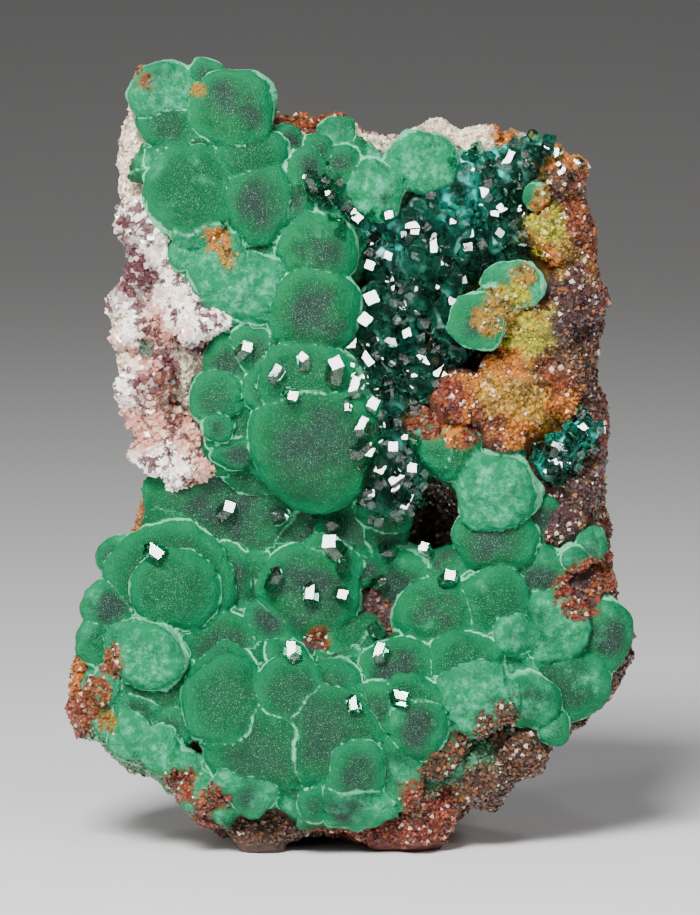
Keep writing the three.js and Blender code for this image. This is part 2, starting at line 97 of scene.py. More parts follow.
# malachite domes: x, height, radius, forward, height over width, paleness
lobes = np.array([
    (-18.6, 76.0, 3.3, 7.6, 1.1, 0.8), (-14.4, 78.2, 1.8, 6.6, 1, 0.4),
    (-12.1, 74.8, 3.9, 9.2, 1, 0.05), (-10.3, 70.1, 3.5, 9.6, 0.9, 0.1),
    (-9.2, 65.1, 3.6, 10.2, 1.1, 0.12), (-18.1, 72.9, 3.0, 7.8, 0.9, 0.2),
    (-16.9, 69.6, 3.8, 8.5, 1, 0.5), (-16.3, 66.6, 4.4, 10.4, 1, 0.4), (-15.8, 62.6, 2.4, 9.6, 1, 0.8),
    (-16.6, 60.4, 1.9, 9.0, 1, 0.9), (-10.4, 56.8, 4.0, 10.8, 0.9, 0.8),
    (-13.3, 58.9, 3.0, 10.2, 1, 0.9), (-9.8, 61.5, 2.8, 9.0, 1, 0.35), (-5.4, 65.8, 1.9, 8.6, 1.2, 0.3),
    (-4.4, 68.6, 2.1, 7.6, 1, 0.2), (-3.3, 70.8, 1.9, 6.6, 1, 0.2), (-1.0, 69.6, 2.0, 6.6, 1, 0.3),
    (-1.5, 72.4, 1.9, 4.8, 1, 0.55), (-2.3, 67.9, 2.0, 6.9, 1, 0.2), (2.1, 66.9, 2.7, 7.4, 1, 0.75),
    (7.2, 69.2, 3.4, 6.6, 0.9, 0.95), (-3.4, 60.5, 3.7, 10.0, 1, 0.35),
    (-3.9, 54.2, 4.4, 11.0, 1, 0.05), (-5.0, 47.7, 5.0, 12.3, 0.75, 0.05),
    (-3.9, 40.8, 6.2, 12.2, 1.04, 0.0), (-7.7, 47.0, 3.3, 11.0, 1, 0.1),
    (-9.7, 50.4, 2.2, 10.4, 1, 0.2), (-6.8, 50.4, 2.8, 10.2, 1, 0.1), (-13.6, 46.0, 2.8, 9.8, 1, 0.2),
    (-11.8, 42.6, 3.1, 10.2, 1, 0.15), (-13.7, 42.8, 1.5, 11.0, 1, 0.25),
    (-11.7, 40.0, 2.5, 9.4, 0.8, 0.2), (-7.8, 38.9, 3.1, 9.0, 0.8, 0.15),
    (-12.4, 34.6, 9.4, 6.6, 0.62, 0.05), (-10.0, 37.4, 3.2, 7.4, 1, 0.05),
    (-4.4, 33.8, 5.4, 6.8, 0.9, 0.05), (-0.6, 32.6, 2.8, 7.0, 1, 0.15), (-2.2, 29.8, 3.0, 8.0, 1, 0.1),
    (-18.4, 27.7, 6.2, 9.4, 0.92, 0.2), (-17.9, 26.7, 4.3, 10.3, 0.92, 0.15),
    (-23.3, 29.8, 2.2, 6.6, 1, 0.4), (-24.4, 24.7, 2.9, 8.6, 1, 0.35), (-20.6, 20.1, 3.2, 12.7, 1, 0.7),
    (-13.4, 21.1, 3.9, 10.6, 0.9, 0.15), (-19.8, 17.4, 4.0, 12.0, 1, 0.15),
    (-25.5, 21.2, 2.5, 9.2, 1, 0.35), (-24.7, 17.2, 1.8, 11.4, 1, 0.8),
    (-22.0, 12.0, 2.3, 12.6, 1, 0.75), (-19.3, 10.7, 2.3, 13.4, 1, 0.8),
    (-15.6, 6.6, 2.0, 13.8, 1, 0.75), (-16.6, 9.3, 1.3, 13.6, 1, 0.85), (-12.9, 7.6, 1.4, 15.0, 1, 0.7),
    (-4.4, 26.4, 4.9, 8.9, 1, 0.1), (-9.1, 27.2, 3.6, 7.6, 1, 0.05), (-12.6, 28.0, 3.4, 8.0, 1, 0.05),
    (-12.6, 15.8, 4.2, 14.6, 1.05, 0.15), (-9.2, 10.8, 5.5, 16.0, 0.85, 0.1),
    (-6.0, 16.6, 3.6, 15.0, 1, 0.1), (-2.2, 18.1, 2.6, 13.6, 1, 0.2), (-2.8, 12.4, 5.7, 16.2, 0.9, 0.1),
    (0.3, 8.2, 3.0, 16.6, 1, 0.2), (0.2, 4.9, 3.6, 16.0, 0.8, 0.55), (-10.2, 6.2, 2.2, 15.4, 1, 0.4),
    (-6.2, 6.1, 2.0, 15.4, 1, 0.5), (-3.9, 5.2, 1.9, 15.4, 1, 0.4), (-13.0, 18.4, 3.4, 12.4, 1, 0.15),
    (-23.0, 20.8, 2.8, 10.8, 1, 0.5), (-21.4, 14.2, 2.6, 12.2, 1, 0.3),
    (8.3, 24.3, 4.2, 9.8, 0.85, 0.15), (4.3, 18.7, 3.8, 12.8, 0.95, 0.15),
    (11.2, 19.5, 3.8, 12.4, 0.8, 0.2), (5.6, 15.8, 3.0, 14.2, 0.9, 0.2),
    (1.9, 14.9, 2.6, 14.6, 1.1, 0.2), (6.1, 13.2, 3.0, 15.2, 1, 0.3), (4.2, 8.4, 2.9, 15.6, 1.2, 0.45),
    (12.5, 16.1, 4.2, 14.2, 0.85, 0.7), (14.6, 25.3, 3.8, 10.4, 0.85, 0.2),
    (14.1, 36.2, 3.8, 10.4, 1, 0.85), (14.1, 31.8, 4.0, 9.2, 0.95, 0.1),
    (18.6, 27.2, 3.1, 9.2, 1.2, 0.35), (19.9, 23.0, 3.6, 10.0, 1, 0.6),
    (25.2, 22.2, 3.0, 8.4, 1.1, 0.35), (21.5, 17.2, 4.2, 9.8, 0.85, 0.35),
    (17.3, 15.5, 3.2, 11.6, 0.8, 0.45), (20.0, 13.0, 1.7, 10.4, 1, 0.4), (22.1, 29.6, 1.4, 8.6, 1, 0.5),
    (23.8, 31.0, 1.6, 7.4, 1, 0.6), (16.4, 22.2, 2.2, 10.8, 1, 0.6), (6.3, 42.7, 2.4, 10.0, 1, 0.6),
    (8.4, 40.6, 1.9, 10.0, 1, 0.3), (10.4, 40.4, 2.6, 9.8, 1, 0.3),
])
discLobes = np.array([
    (12.3, 53.7, 2.7, 8.8, 1, 0.1), (15.7, 57.2, 2.8, 8.2, 0.8, 0.6), (14.2, 55.4, 2.2, 8.2, 1, 0.5),
])
budLobes = np.array([(17.7, 66.0, 1.1, 6.3, 1.3, 0.3)])
bare = np.array([  # how far forward the face stands where no malachite grows
    (8, 62, 3.5), (5, 55, 4.5), (3, 48, 7), (2, 41, 8.5), (4, 36, 8), (14, 67, 4), (22, 66, 6), (22, 58, 7),
    (22, 48, 7.5), (13, 44, 9.5), (22, 37, 7), (8, 34, 1), (-2, 72, 4), (12, 72, 3.5), (-21, 60, 6.5),
    (-20, 52, 8), (-21, 44, 7.5), (-19, 40, 7), (10, 6, 13), (16, 11, 12), (-9, 1.5, 14), (4, 1, 14),
    (-21, 9, 12), (0, 3, 14), (12.3, 49.8, 2), (2.5, 25, 5.5), (-3, 21.5, 8),
])
posts = np.concatenate([lobes[:, [0, 1, 3]], bare])
reach = 2.5  # how far a post holds the level of the face
crustThickness = 2.6
stepHeight, stepPaling = 30.0, 0.13  # the step below this height is that much paler
lobes[lobes[:, 1] < stepHeight, 5] += stepPaling
domeShape = {"steep": 0.56, "rise": 1.2, "widening": 0.25, "root": 2.5, "squareness": 3.0}
plateShape = {"out": (-0.2, -1.0, 0.15), "rise": 0.45, "root": 0.9, "squareness": 6.0}  # the disc's plates
bend = {"depth": 0.5, "size": 3.4, "octaves": 4, "seeds": (3, 23, 43)}  # keeps the domes from being perfect


def level(x, height):
    total = np.zeros(np.shape(x))
    weights = np.zeros(np.shape(x))
    for px, ph, forward in posts:
        weight = 1 / ((x - px) ** 2 + (height - ph) ** 2 + reach ** 2) ** 2
        total += weight * forward
        weights += weight
    return total / weights


def facing(x, height, step=1.5):
    across = (level(x + step, height) - level(x - step, height)) / (2 * step)
    up = (level(x, height + step) - level(x, height - step)) / (2 * step)
    return unit(np.stack([-across, -np.ones(np.shape(x)), -up], -1))


class Dome:
    def __init__(self, row, lift=0.0, thin=False):
        x, height, self.radius, forward, self.tall, self.pale = row
        shape = plateShape if thin else domeShape
        self.root, self.squareness = shape["root"], shape["squareness"]
        if thin:
            self.out = unit(np.array(shape["out"]))
            self.rise = shape["rise"]
        else:
            self.out = facing(np.array(x), np.array(height))
            self.rise = min(shape["steep"] * self.radius, shape["rise"] + shape["widening"] * self.radius)
        self.side = unit(np.cross(self.out, [0, 0, 1.0]))
        self.up = np.cross(self.side, self.out)
        self.apex = onFace(x, height, forward) + self.out * lift
        self.middle = self.apex - self.out * self.rise
        self.forward = forward + lift

    def distance(self, points):
        p = points - self.middle
        across = np.hypot(p @ self.side, (p @ self.up) / self.tall) / self.radius
        along = p @ self.out
        deep = np.abs(along) / np.where(along > 0, self.rise, self.rise + self.root)
        q = (across ** self.squareness + deep ** self.squareness) ** (1 / self.squareness) + 1e-6
        return np.linalg.norm(p, axis=-1) * (1 - 1 / q), across


def warped(points):
    waves = [layered(points, bend["size"], seed, bend["octaves"]) for seed in bend["seeds"]]
    return points + bend["depth"] * np.stack(waves, -1)


# a closed mesh around the inside of a sampled field
def surfaceNet(field, origin, step):
    inside = field < 0
    shape = np.array(field.shape) - 1
    corners = [(i, j, k) for i in (0, 1) for j in (0, 1) for k in (0, 1)]
    count = sum(inside[i:i + shape[0], j:j + shape[1], k:k + shape[2]].astype(np.int8) for i, j, k in corners)
    cells = np.argwhere((count > 0) & (count < 8))
    number = np.full(shape, -1, int)
    number[tuple(cells.T)] = np.arange(len(cells))
    total = np.zeros((len(cells), 3))
    hits = np.zeros(len(cells))
    for a in corners:
        for axis in range(3):
            if a[axis]:
                continue
            b = tuple(v + (k == axis) for k, v in enumerate(a))
            fa = field[tuple((cells + a).T)]
            fb = field[tuple((cells + b).T)]
            cross = (fa < 0) != (fb < 0)
            t = fa[cross] / (fa[cross] - fb[cross])
            total[cross] += np.array(a) + t[:, None] * (np.array(b) - np.array(a))
            hits[cross] += 1
    points = origin + step * (cells + total / hits[:, None])
    quads = []
    for axis in range(3):
        u, v = (axis + 1) % 3, (axis + 2) % 3
        low = [slice(None)] * 3
        high = [slice(None)] * 3
        low[axis], high[axis] = slice(None, -1), slice(1, None)
        edges = np.argwhere(inside[tuple(low)] != inside[tuple(high)])
        across = edges[:, [u, v]]
        edges = edges[((across > 0) & (across < shape[[u, v]])).all(1)]
        stepU, stepV = np.eye(3, dtype=int)[u], np.eye(3, dtype=int)[v]
        around = [du * stepU + dv * stepV for du, dv in ((0, 0), (1, 0), (1, 1), (0, 1))]
        quad = np.stack([number[tuple((edges - away).T)] for away in around], 1)
        turned = inside[tuple(edges.T)]
        quad[~turned] = quad[~turned][:, ::-1]
        quads.append(quad)
    return points, np.concatenate(quads)


def meshObject(name, points, faces, attributes=None, flat=False):
    mesh = bpy.data.meshes.new(name)
    mesh.from_pydata((np.asarray(points) * mm).tolist(), [], [list(map(int, f)) for f in faces])
    for key, values in (attributes or {}).items():
        values = np.asarray(values, np.float32)
        kind, field = ("FLOAT", "value") if values.ndim == 1 else ("FLOAT_VECTOR", "vector")
        mesh.attributes.new(key, kind, "POINT").data.foreach_set(field, values.ravel())
    mesh.polygons.foreach_set("use_smooth", [not flat] * len(mesh.polygons))
    mesh.update()
    piece = bpy.data.objects.new(name, mesh)
    bpy.context.scene.collection.objects.link(piece)
    return piece


# shader building
class Wire:
    def __init__(self, shader, socket):
        self.shader = shader
        self.socket = socket

    def math(self, kind, *others):
        node = self.shader.node("ShaderNodeMath", {"operation": kind}, dict(enumerate([self, *others])))
        return Wire(self.shader, node.outputs[0])

    def __add__(self, other):
        return self.math("ADD", other)

    __radd__ = __add__

    def __mul__(self, other):
        return self.math("MULTIPLY", other)

    __rmul__ = __mul__

    def __sub__(self, other):
        return self.math("SUBTRACT", other)

    def __rsub__(self, other):
        return (self * -1) + other

    def between(self, low, high):
        values = {"Value": self, "From Min": low, "From Max": high}
        node = self.shader.node("ShaderNodeMapRange", {"interpolation_type": "SMOOTHSTEP"}, values)
        return Wire(self.shader, node.outputs[0])


class Shader:
    def __init__(self, name):
        self.material = bpy.data.materials.new(name)
        self.material.use_nodes = True
        self.tree = self.material.node_tree
        self.surface = self.tree.nodes["Principled BSDF"]
        self.output = self.tree.nodes["Material Output"]
        self.place = self.node("ShaderNodeTexCoord").outputs["Object"]

    def put(self, socket, value):
        if isinstance(value, Wire):
            self.tree.links.new(value.socket, socket)
        elif isinstance(value, bpy.types.NodeSocket):
            self.tree.links.new(value, socket)
        else:
            socket.default_value = value

    def node(self, kind, settings=None, values=None):
        made = self.tree.nodes.new(kind)
        for key, value in (settings or {}).items():
            setattr(made, key, value)
        for key, value in (values or {}).items():
            self.put(made.inputs[key], value)
        return made

    def attribute(self, name):
        return Wire(self, self.node("ShaderNodeAttribute", {"attribute_name": name}).outputs["Fac"])

    def colourOf(self, name):
        return Wire(self, self.node("ShaderNodeAttribute", {"attribute_name": name}).outputs["Vector"])

    def noise(self, size, detail=2, roughness=0.5):
        values = {"Vector": self.place, "Scale": 1 / (size * mm), "Detail": detail, "Roughness": roughness}
        return Wire(self, self.node("ShaderNodeTexNoise", None, values).outputs[0])

    def mix(self, factor, a, b):
        made = self.node("ShaderNodeMix", {"data_type": "RGBA"}, {"Factor": factor})
        for key, value in (("A_Color", a), ("B_Color", b)):
            socket = next(s for s in made.inputs if s.identifier == key)
            self.put(socket, value if isinstance(value, Wire) else (*value, 1))
        return Wire(self, next(s for s in made.outputs if s.identifier == "Result_Color"))

    def bump(self, height, depth):
        values = {"Height": height, "Distance": depth * mm, "Strength": 1.0}
        return Wire(self, self.node("ShaderNodeBump", None, values).outputs[0])

    def set(self, values):
        for key, value in values.items():
            self.put(self.surface.inputs[key], value)


# small pieces scattered over a ground by geometry nodes
scatterInputs = (
    ("Ground", "NodeSocketGeometry"), ("Spacing", "NodeSocketFloat"), ("Seed", "NodeSocketInt"),
    ("Small", "NodeSocketFloat"), ("Large", "NodeSocketFloat"), ("Tilt", "NodeSocketFloat"),
    ("Shape", "NodeSocketObject"), ("Finish", "NodeSocketMaterial"), ("Mask", "NodeSocketString"),
)
densest = 2e7  # pieces on a square metre, more than any spacing leaves room for


def scatterTree():
    tree = bpy.data.node_groups.new("scatter", "GeometryNodeTree")
    for name, kind in scatterInputs:
        tree.interface.new_socket(name=name, in_out="INPUT", socket_type=kind)
    tree.interface.new_socket(name="Pieces", in_out="OUTPUT", socket_type="NodeSocketGeometry")

    def node(kind, settings=None, values=None):
        made = tree.nodes.new(kind)
        for key, value in (settings or {}).items():
            setattr(made, key, value)
        for key, value in (values or {}).items():
            socket = made.inputs[key] if not isinstance(key, str) else next(
                s for s in made.inputs if key in (s.identifier, s.name) and s.enabled)
            if isinstance(value, bpy.types.NodeSocket):
                tree.links.new(value, socket)
            else:
                socket.default_value = value
        return made

    given = node("NodeGroupInput").outputs
    named = node("GeometryNodeInputNamedAttribute", {"data_type": "FLOAT"}, {"Name": given["Mask"]})
    spread = node("GeometryNodeDistributePointsOnFaces", {"distribute_method": "POISSON"}, {
        "Mesh": given["Ground"], "Distance Min": given["Spacing"], "Density Max": densest,
        "Density Factor": named.outputs["Attribute"], "Seed": given["Seed"]}).outputs
    lean = node("ShaderNodeCombineXYZ", None, {
        "X": given["Tilt"], "Y": given["Tilt"], "Z": math.pi}).outputs[0]
    back = node("ShaderNodeVectorMath", {"operation": "SCALE"}, {0: lean, "Scale": -1.0}).outputs[0]
    turn = node("FunctionNodeRandomValue", {"data_type": "FLOAT_VECTOR"}, {
        "Min": back, "Max": lean, "Seed": given["Seed"]}).outputs[0]
    turned = node("FunctionNodeRotateRotation", {"rotation_space": "LOCAL"}, {
        "Rotation": spread["Rotation"], "Rotate By": turn}).outputs[0]
    size = node("FunctionNodeRandomValue", {"data_type": "FLOAT"}, {
        "Min": given["Small"], "Max": given["Large"], "Seed": 3})
    sizeOut = next(s for s in size.outputs if s.enabled)
    shape = node("GeometryNodeObjectInfo", None, {"Object": given["Shape"]}).outputs["Geometry"]
    placed = node("GeometryNodeInstanceOnPoints", None, {
        "Points": spread["Points"], "Instance": shape, "Rotation": turned, "Scale": sizeOut}).outputs[0]
    chance = node("FunctionNodeRandomValue", {"data_type": "FLOAT"}, {"Seed": 9})
    chanceOut = next(s for s in chance.outputs if s.enabled)
    tinted = node("GeometryNodeStoreNamedAttribute", {"data_type": "FLOAT", "domain": "INSTANCE"}, {
        "Geometry": placed, "Name": "tint", "Value": chanceOut}).outputs[0]
    real = node("GeometryNodeRealizeInstances", None, {"Geometry": tinted}).outputs[0]
    dressed = node("GeometryNodeSetMaterial", None, {
        "Geometry": real, "Material": given["Finish"]}).outputs[0]
    node("NodeGroupOutput", None, {"Pieces": dressed})
    return tree


scatter = scatterTree()


def scattered(name, ground, shape, finish, sizes, seed, mask="mask"):
    holder = bpy.data.objects.new(name + "Holder", ground.data)
    bpy.context.scene.collection.objects.link(holder)
    modifier = holder.modifiers.new("scatter", "NODES")
    modifier.node_group = scatter
    values = {"Spacing": sizes["spacing"] * mm, "Small": sizes["small"], "Large": sizes["large"],
              "Tilt": sizes["tilt"], "Seed": seed, "Shape": shape, "Finish": finish, "Mask": mask}
    for item in scatter.interface.items_tree:
        if item.in_out == "INPUT" and item.name in values:
            modifier[item.identifier] = values[item.name]
    holder.update_tag()
    bpy.context.view_layer.update()
    made = bpy.data.meshes.new_from_object(holder.evaluated_get(bpy.context.evaluated_depsgraph_get()))
    bpy.data.objects.remove(holder)
    piece = bpy.data.objects.new(name, made)
    bpy.context.scene.collection.objects.link(piece)
    made.materials.clear()
    made.materials.append(finish)
    made.polygons.foreach_set("use_smooth", [False] * len(made.polygons))
    return piece


def template(name, points, faces):  # a shape that only the scatter uses
    piece = meshObject(name, points, faces, flat=True)
    bpy.context.scene.collection.objects.unlink(piece)
    return piece


def settle(piece, slot, *nodes):
    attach(piece, "root")
    if nodes:
        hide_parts(*nodes)


def lookMesh(node, voxel):  # an even mesh of a solid
    holder = bpy.data.objects.new(node + "Even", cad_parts[node].data.copy())
    bpy.context.scene.collection.objects.link(holder)
    modifier = holder.modifiers.new("even", "REMESH")
    modifier.mode = "VOXEL"
    modifier.voxel_size = voxel * mm
    bpy.context.view_layer.update()
    made = bpy.data.meshes.new_from_object(holder.evaluated_get(bpy.context.evaluated_depsgraph_get()))
    bpy.data.objects.remove(holder)
    points = np.empty(len(made.vertices) * 3)
    made.vertices.foreach_get("co", points)
    normals = np.empty(len(made.vertices) * 3)
    made.vertices.foreach_get("normal", normals)
    faces = [tuple(p.vertices) for p in made.polygons]
    bpy.data.meshes.remove(made)
    return points.reshape(-1, 3) / mm, normals.reshape(-1, 3), faces


def painted(x, height, spots, power=3):  # a blend of the colours of the nearest spots
    total = np.zeros((len(x), 3))
    weights = np.zeros(len(x))
    for sx, sh, colour in spots:
        weight = 1 / ((x - sx) ** 2 + (height - sh) ** 2 + 0.3) ** power
        total += weight[:, None] * np.array(colour)
        weights += weight
    return total / weights[:, None]


def ragged(points, stray, size, seed):  # places moved by noise, so that patches of colour have torn borders
    x, height, forward = seenAt(points)
    return x + stray * layered(points, size, seed, 4), height + stray * layered(points, size, seed + 7, 4)


# malachite
rust = {
    "rust": (0.19, 0.043, 0.012), "orange": (0.48, 0.145, 0.012), "ochre": (0.27, 0.15, 0.018),
    "lime": (0.36, 0.34, 0.012), "plum": (0.055, 0.020, 0.022), "brown": (0.080, 0.034, 0.018),
    "red": (0.17, 0.024, 0.012), "gold": (0.47, 0.25, 0.015), "chalk": (0.95, 0.80, 0.60),
    "green": (0.06, 0.30, 0.15), "dark": (0.012, 0.008, 0.006),
}
openPlaces = np.array([  # x, height and radius of the places that the crust leaves open
    (8, 62, 7.5), (4.5, 55, 5), (3, 48, 3.5), (14, 67, 5), (22, 66, 5), (22, 58, 6), (17, 51, 6),
    (22, 48, 6), (14, 45, 5), (9, 46, 3), (22, 40, 4.6), (22.5, 35, 4), (21.2, 32, 2.6),
    (8.2, 34.4, 3.6), (6, 31, 2.4), (1.9, 25.3, 2.2), (2.5, 23, 1.6), (-22, 63, 4), (-21, 55, 5),
    (-17.5, 53, 3), (-15, 51, 2.6), (-21, 46, 5), (-18, 43, 3), (-19, 40, 3), (-4, 73.2, 2.2),
    (4, 73.6, 3), (11, 73, 4), (16, 72.5, 2), (10, 4, 6), (16, 9.5, 4.5), (20, 10.5, 3), (-9, 0.5, 4),
    (4, 0, 5), (-15.4, 12, 1.4), (-13.4, 12, 1.4), (22.7, 26.6, 1.8), (23.8, 28.2, 1.7),
    (22.2, 24.6, 1.4), (-19, 80.5, 2), (-24, 72, 3), (12.3, 49.8, 3),
])


outline = np.array([  # the specimen's edge as the photograph shows it: x, height
    (-20.4, 79.3), (-16.3, 79.0), (-13.1, 78.7), (-9.4, 76.4), (-8.2, 73.9), (-5.3, 73.4), (-0.8, 73.7),
    (2.2, 72.1), (4.7, 71.9), (8.7, 73.2), (13.4, 72.1), (15.7, 72.5), (20.3, 70.6), (22.3, 68.8),
    (23.2, 65.7), (24.0, 61.7), (25.2, 53.7), (24.3, 49.4), (25.3, 43.7), (25.2, 35.7), (25.5, 31.2),
    (26.5, 25.7), (28.2, 22.2), (27.8, 19.9), (25.9, 16.5), (21.8, 12.9), (15.6, 8.2), (9.7, 3.5),
    (7.2, 1.1), (4.7, 0), (2.0, 0), (-0.3, 2.2), (-3.8, 2.3), (-6.8, 1.0), (-8.2, 0), (-10.2, 0),
    (-13.8, 3.0), (-17.8, 5.8), (-21.3, 8.8), (-25.6, 11.7), (-27.9, 14.0), (-28.3, 15.9),
    (-26.7, 20.7), (-24.9, 27.2), (-22.2, 31.7), (-21.3, 35.7), (-20.3, 38.5), (-22.2, 42.9),
    (-22.7, 47.2), (-23.6, 54.7), (-22.0, 58.7), (-21.8, 62.2), (-23.2, 66.7), (-23.3, 71.7),
    (-22.6, 76.7),
])


def insideBy(x, height):  # how far inside the specimen's edge a place is
    inner = np.zeros(np.shape(x), bool)
    gap = np.full(np.shape(x), 99.0)
    for (ax, ah), (bx, bh) in zip(outline, np.roll(outline, -1, 0)):
        run, rise = bx - ax, bh - ah
        t = np.clip(((x - ax) * run + (height - ah) * rise) / (run ** 2 + rise ** 2), 0, 1)
        gap = np.minimum(gap, np.hypot(x - ax - t * run, height - ah - t * rise))
        if rise:
            inner ^= ((ah > height) != (bh > height)) & (x < ax + (height - ah) * run / rise)
    return np.where(inner, gap, -gap)


tableStep = 0.4
tableX, tableH = np.arange(-36, 36.1, tableStep), np.arange(-8, 90.1, tableStep)


def tabled(function):  # the same function, read from a table
    grid = np.meshgrid(tableX, tableH, indexing="ij")
    values = function(grid[0].ravel(), grid[1].ravel()).reshape(grid[0].shape)

    def look(x, height):
        u = np.clip((x - tableX[0]) / tableStep, 0, len(tableX) - 1.001)
        v = np.clip((height - tableH[0]) / tableStep, 0, len(tableH) - 1.001)
        i, j = u.astype(int), v.astype(int)
        u, v = u - i, v - j
        low = values[i, j] * (1 - v) + values[i, j + 1] * v
        return low * (1 - u) + (values[i + 1, j] * (1 - v) + values[i + 1, j + 1] * v) * u

    return look


def outlineGap(x, height, rows):  # how far outside the nearest of some rounds a place is
    return np.min([np.hypot(x - r[0], height - r[1]) - r[2] for r in rows], axis=0)


def covered(x, height):
    wave = 0.7 * layered(np.stack([x, 0 * x, height], -1), 3.0, 51, 3)
    inner = smooth(3.2, 1.6, outlineGap(x, height, lobes) + wave)
    inner = inner * smooth(0.1, 1.4, insideBy(x, height))
    return inner * smooth(-0.4, 0.6, outlineGap(x, height, openPlaces) + wave)


levelAt, coveredAt, insideAt = tabled(level), tabled(covered), tabled(insideBy)


filling = {
    "seed": 17, "spacing": 2.8, "stray": 1.1, "radius": (2.0, 3.3), "tall": (0.8, 1.1), "pale": (0.0, 0.5),
    "sunk": 0.7, "inside": 0.8,
}


def fillLobes(rows):  # low lobes where the listed ones leave a gap
    rng = np.random.default_rng(filling["seed"])
    columns, levels = np.arange(-27, 27, filling["spacing"]), np.arange(4, 79, filling["spacing"])
    places = np.array([(x, height) for x in columns for height in levels])
    x, height = (places + rng.uniform(-filling["stray"], filling["stray"], places.shape)).T
    radius, tall, pale = (rng.uniform(*filling[key], len(x)) for key in ("radius", "tall", "pale"))
    bareOnCrust = (outlineGap(x, height, rows) > 0.0) & (coveredAt(x, height) > 0.5)
    keep = bareOnCrust & (insideAt(x, height) > filling["inside"] * radius)
    made = np.stack([x, height, radius, levelAt(x, height) - filling["sunk"], tall, pale], 1)
    return made[keep]


stains = [(x, h, r, rust[key]) for x, h, r, key in (  # rust on the malachite: x, height, radius, colour
    (6.0, 44.3, 1.9, "rust"), (8.0, 43.4, 1.7, "red"), (10.2, 42.9, 1.6, "orange"),
    (11.8, 42.2, 1.2, "red"), (5.0, 45.6, 1.5, "rust"), (15.0, 55.0, 2.0, "ochre"),
    (13.4, 53.6, 1.2, "ochre"), (16.6, 56.2, 1.2, "lime"), (17.4, 57.8, 1.1, "ochre"),
    (-25.8, 16.4, 1.4, "rust"), (-27.0, 14.6, 1.6, "red"), (-24.0, 19.8, 1.0, "rust"),
    (-17.2, 7.4, 1.6, "red"), (-14.4, 5.8, 1.5, "red"), (-24.2, 13.6, 1.0, "ochre"),
    (-13.4, 61.6, 1.1, "orange"), (-12.6, 59.9, 0.7, "ochre"), (11.0, 10.6, 1.5, "brown"),
    (13.6, 13.0, 1.4, "brown"), (15.4, 14.6, 1.2, "brown"), (8.6, 8.6, 1.6, "brown"),
    (6.4, 6.4, 1.5, "red"), (-3.6, 21.8, 0.9, "rust"), (22.4, 27.2, 1.6, "red"),
    (23.6, 28.4, 1.5, "red"), (22.6, 24.8, 1.3, "red"), (19.0, 66.3, 0.9, "ochre"),
    (18.8, 65.2, 0.8, "orange"), (-20.6, 77.6, 1.0, "rust"), (-15.6, 76.6, 0.7, "ochre"),
)]


def stained(x, height):
    wave = 0.9 * layered(np.stack([x, 0 * x, height], -1), 1.6, 53, 3)
    gap = outlineGap(x, height, [row[:3] for row in stains]) + wave
    return smooth(0.5, -0.3, gap), painted(x, height, [(a, b, c) for a, b, r, c in stains])


def nearestDomes(domes, points):
    near = np.full(len(points), 99.0)
    second = np.full(len(points), 99.0)
    own = np.zeros(len(points), int)
    other = np.zeros(len(points), int)
    spread = np.zeros(len(points))
    for i, dome in enumerate(domes):
        span = dome.radius * max(1, dome.tall) + 5
        some = np.flatnonzero((np.abs(points - dome.middle) < span).all(1))
        d, across = dome.distance(points[some])
        first = d < near[some]
        place = some[first]
        second[place] = near[place]
        other[place] = own[place]
        near[place] = d[first]
        own[place] = i
        spread[place] = across[first]
        later = ~first & (d < second[some])
        second[some[later]] = d[later]
        other[some[later]] = i
    return near, second, own, other, spread


growth = {
    "lift": 0.45, "widen": 1.08, "foot": 0.25, "lip": 0.16, "lipWidth": 0.6,
    "crumple": 0.34, "crumpleSize": 2.2,
}


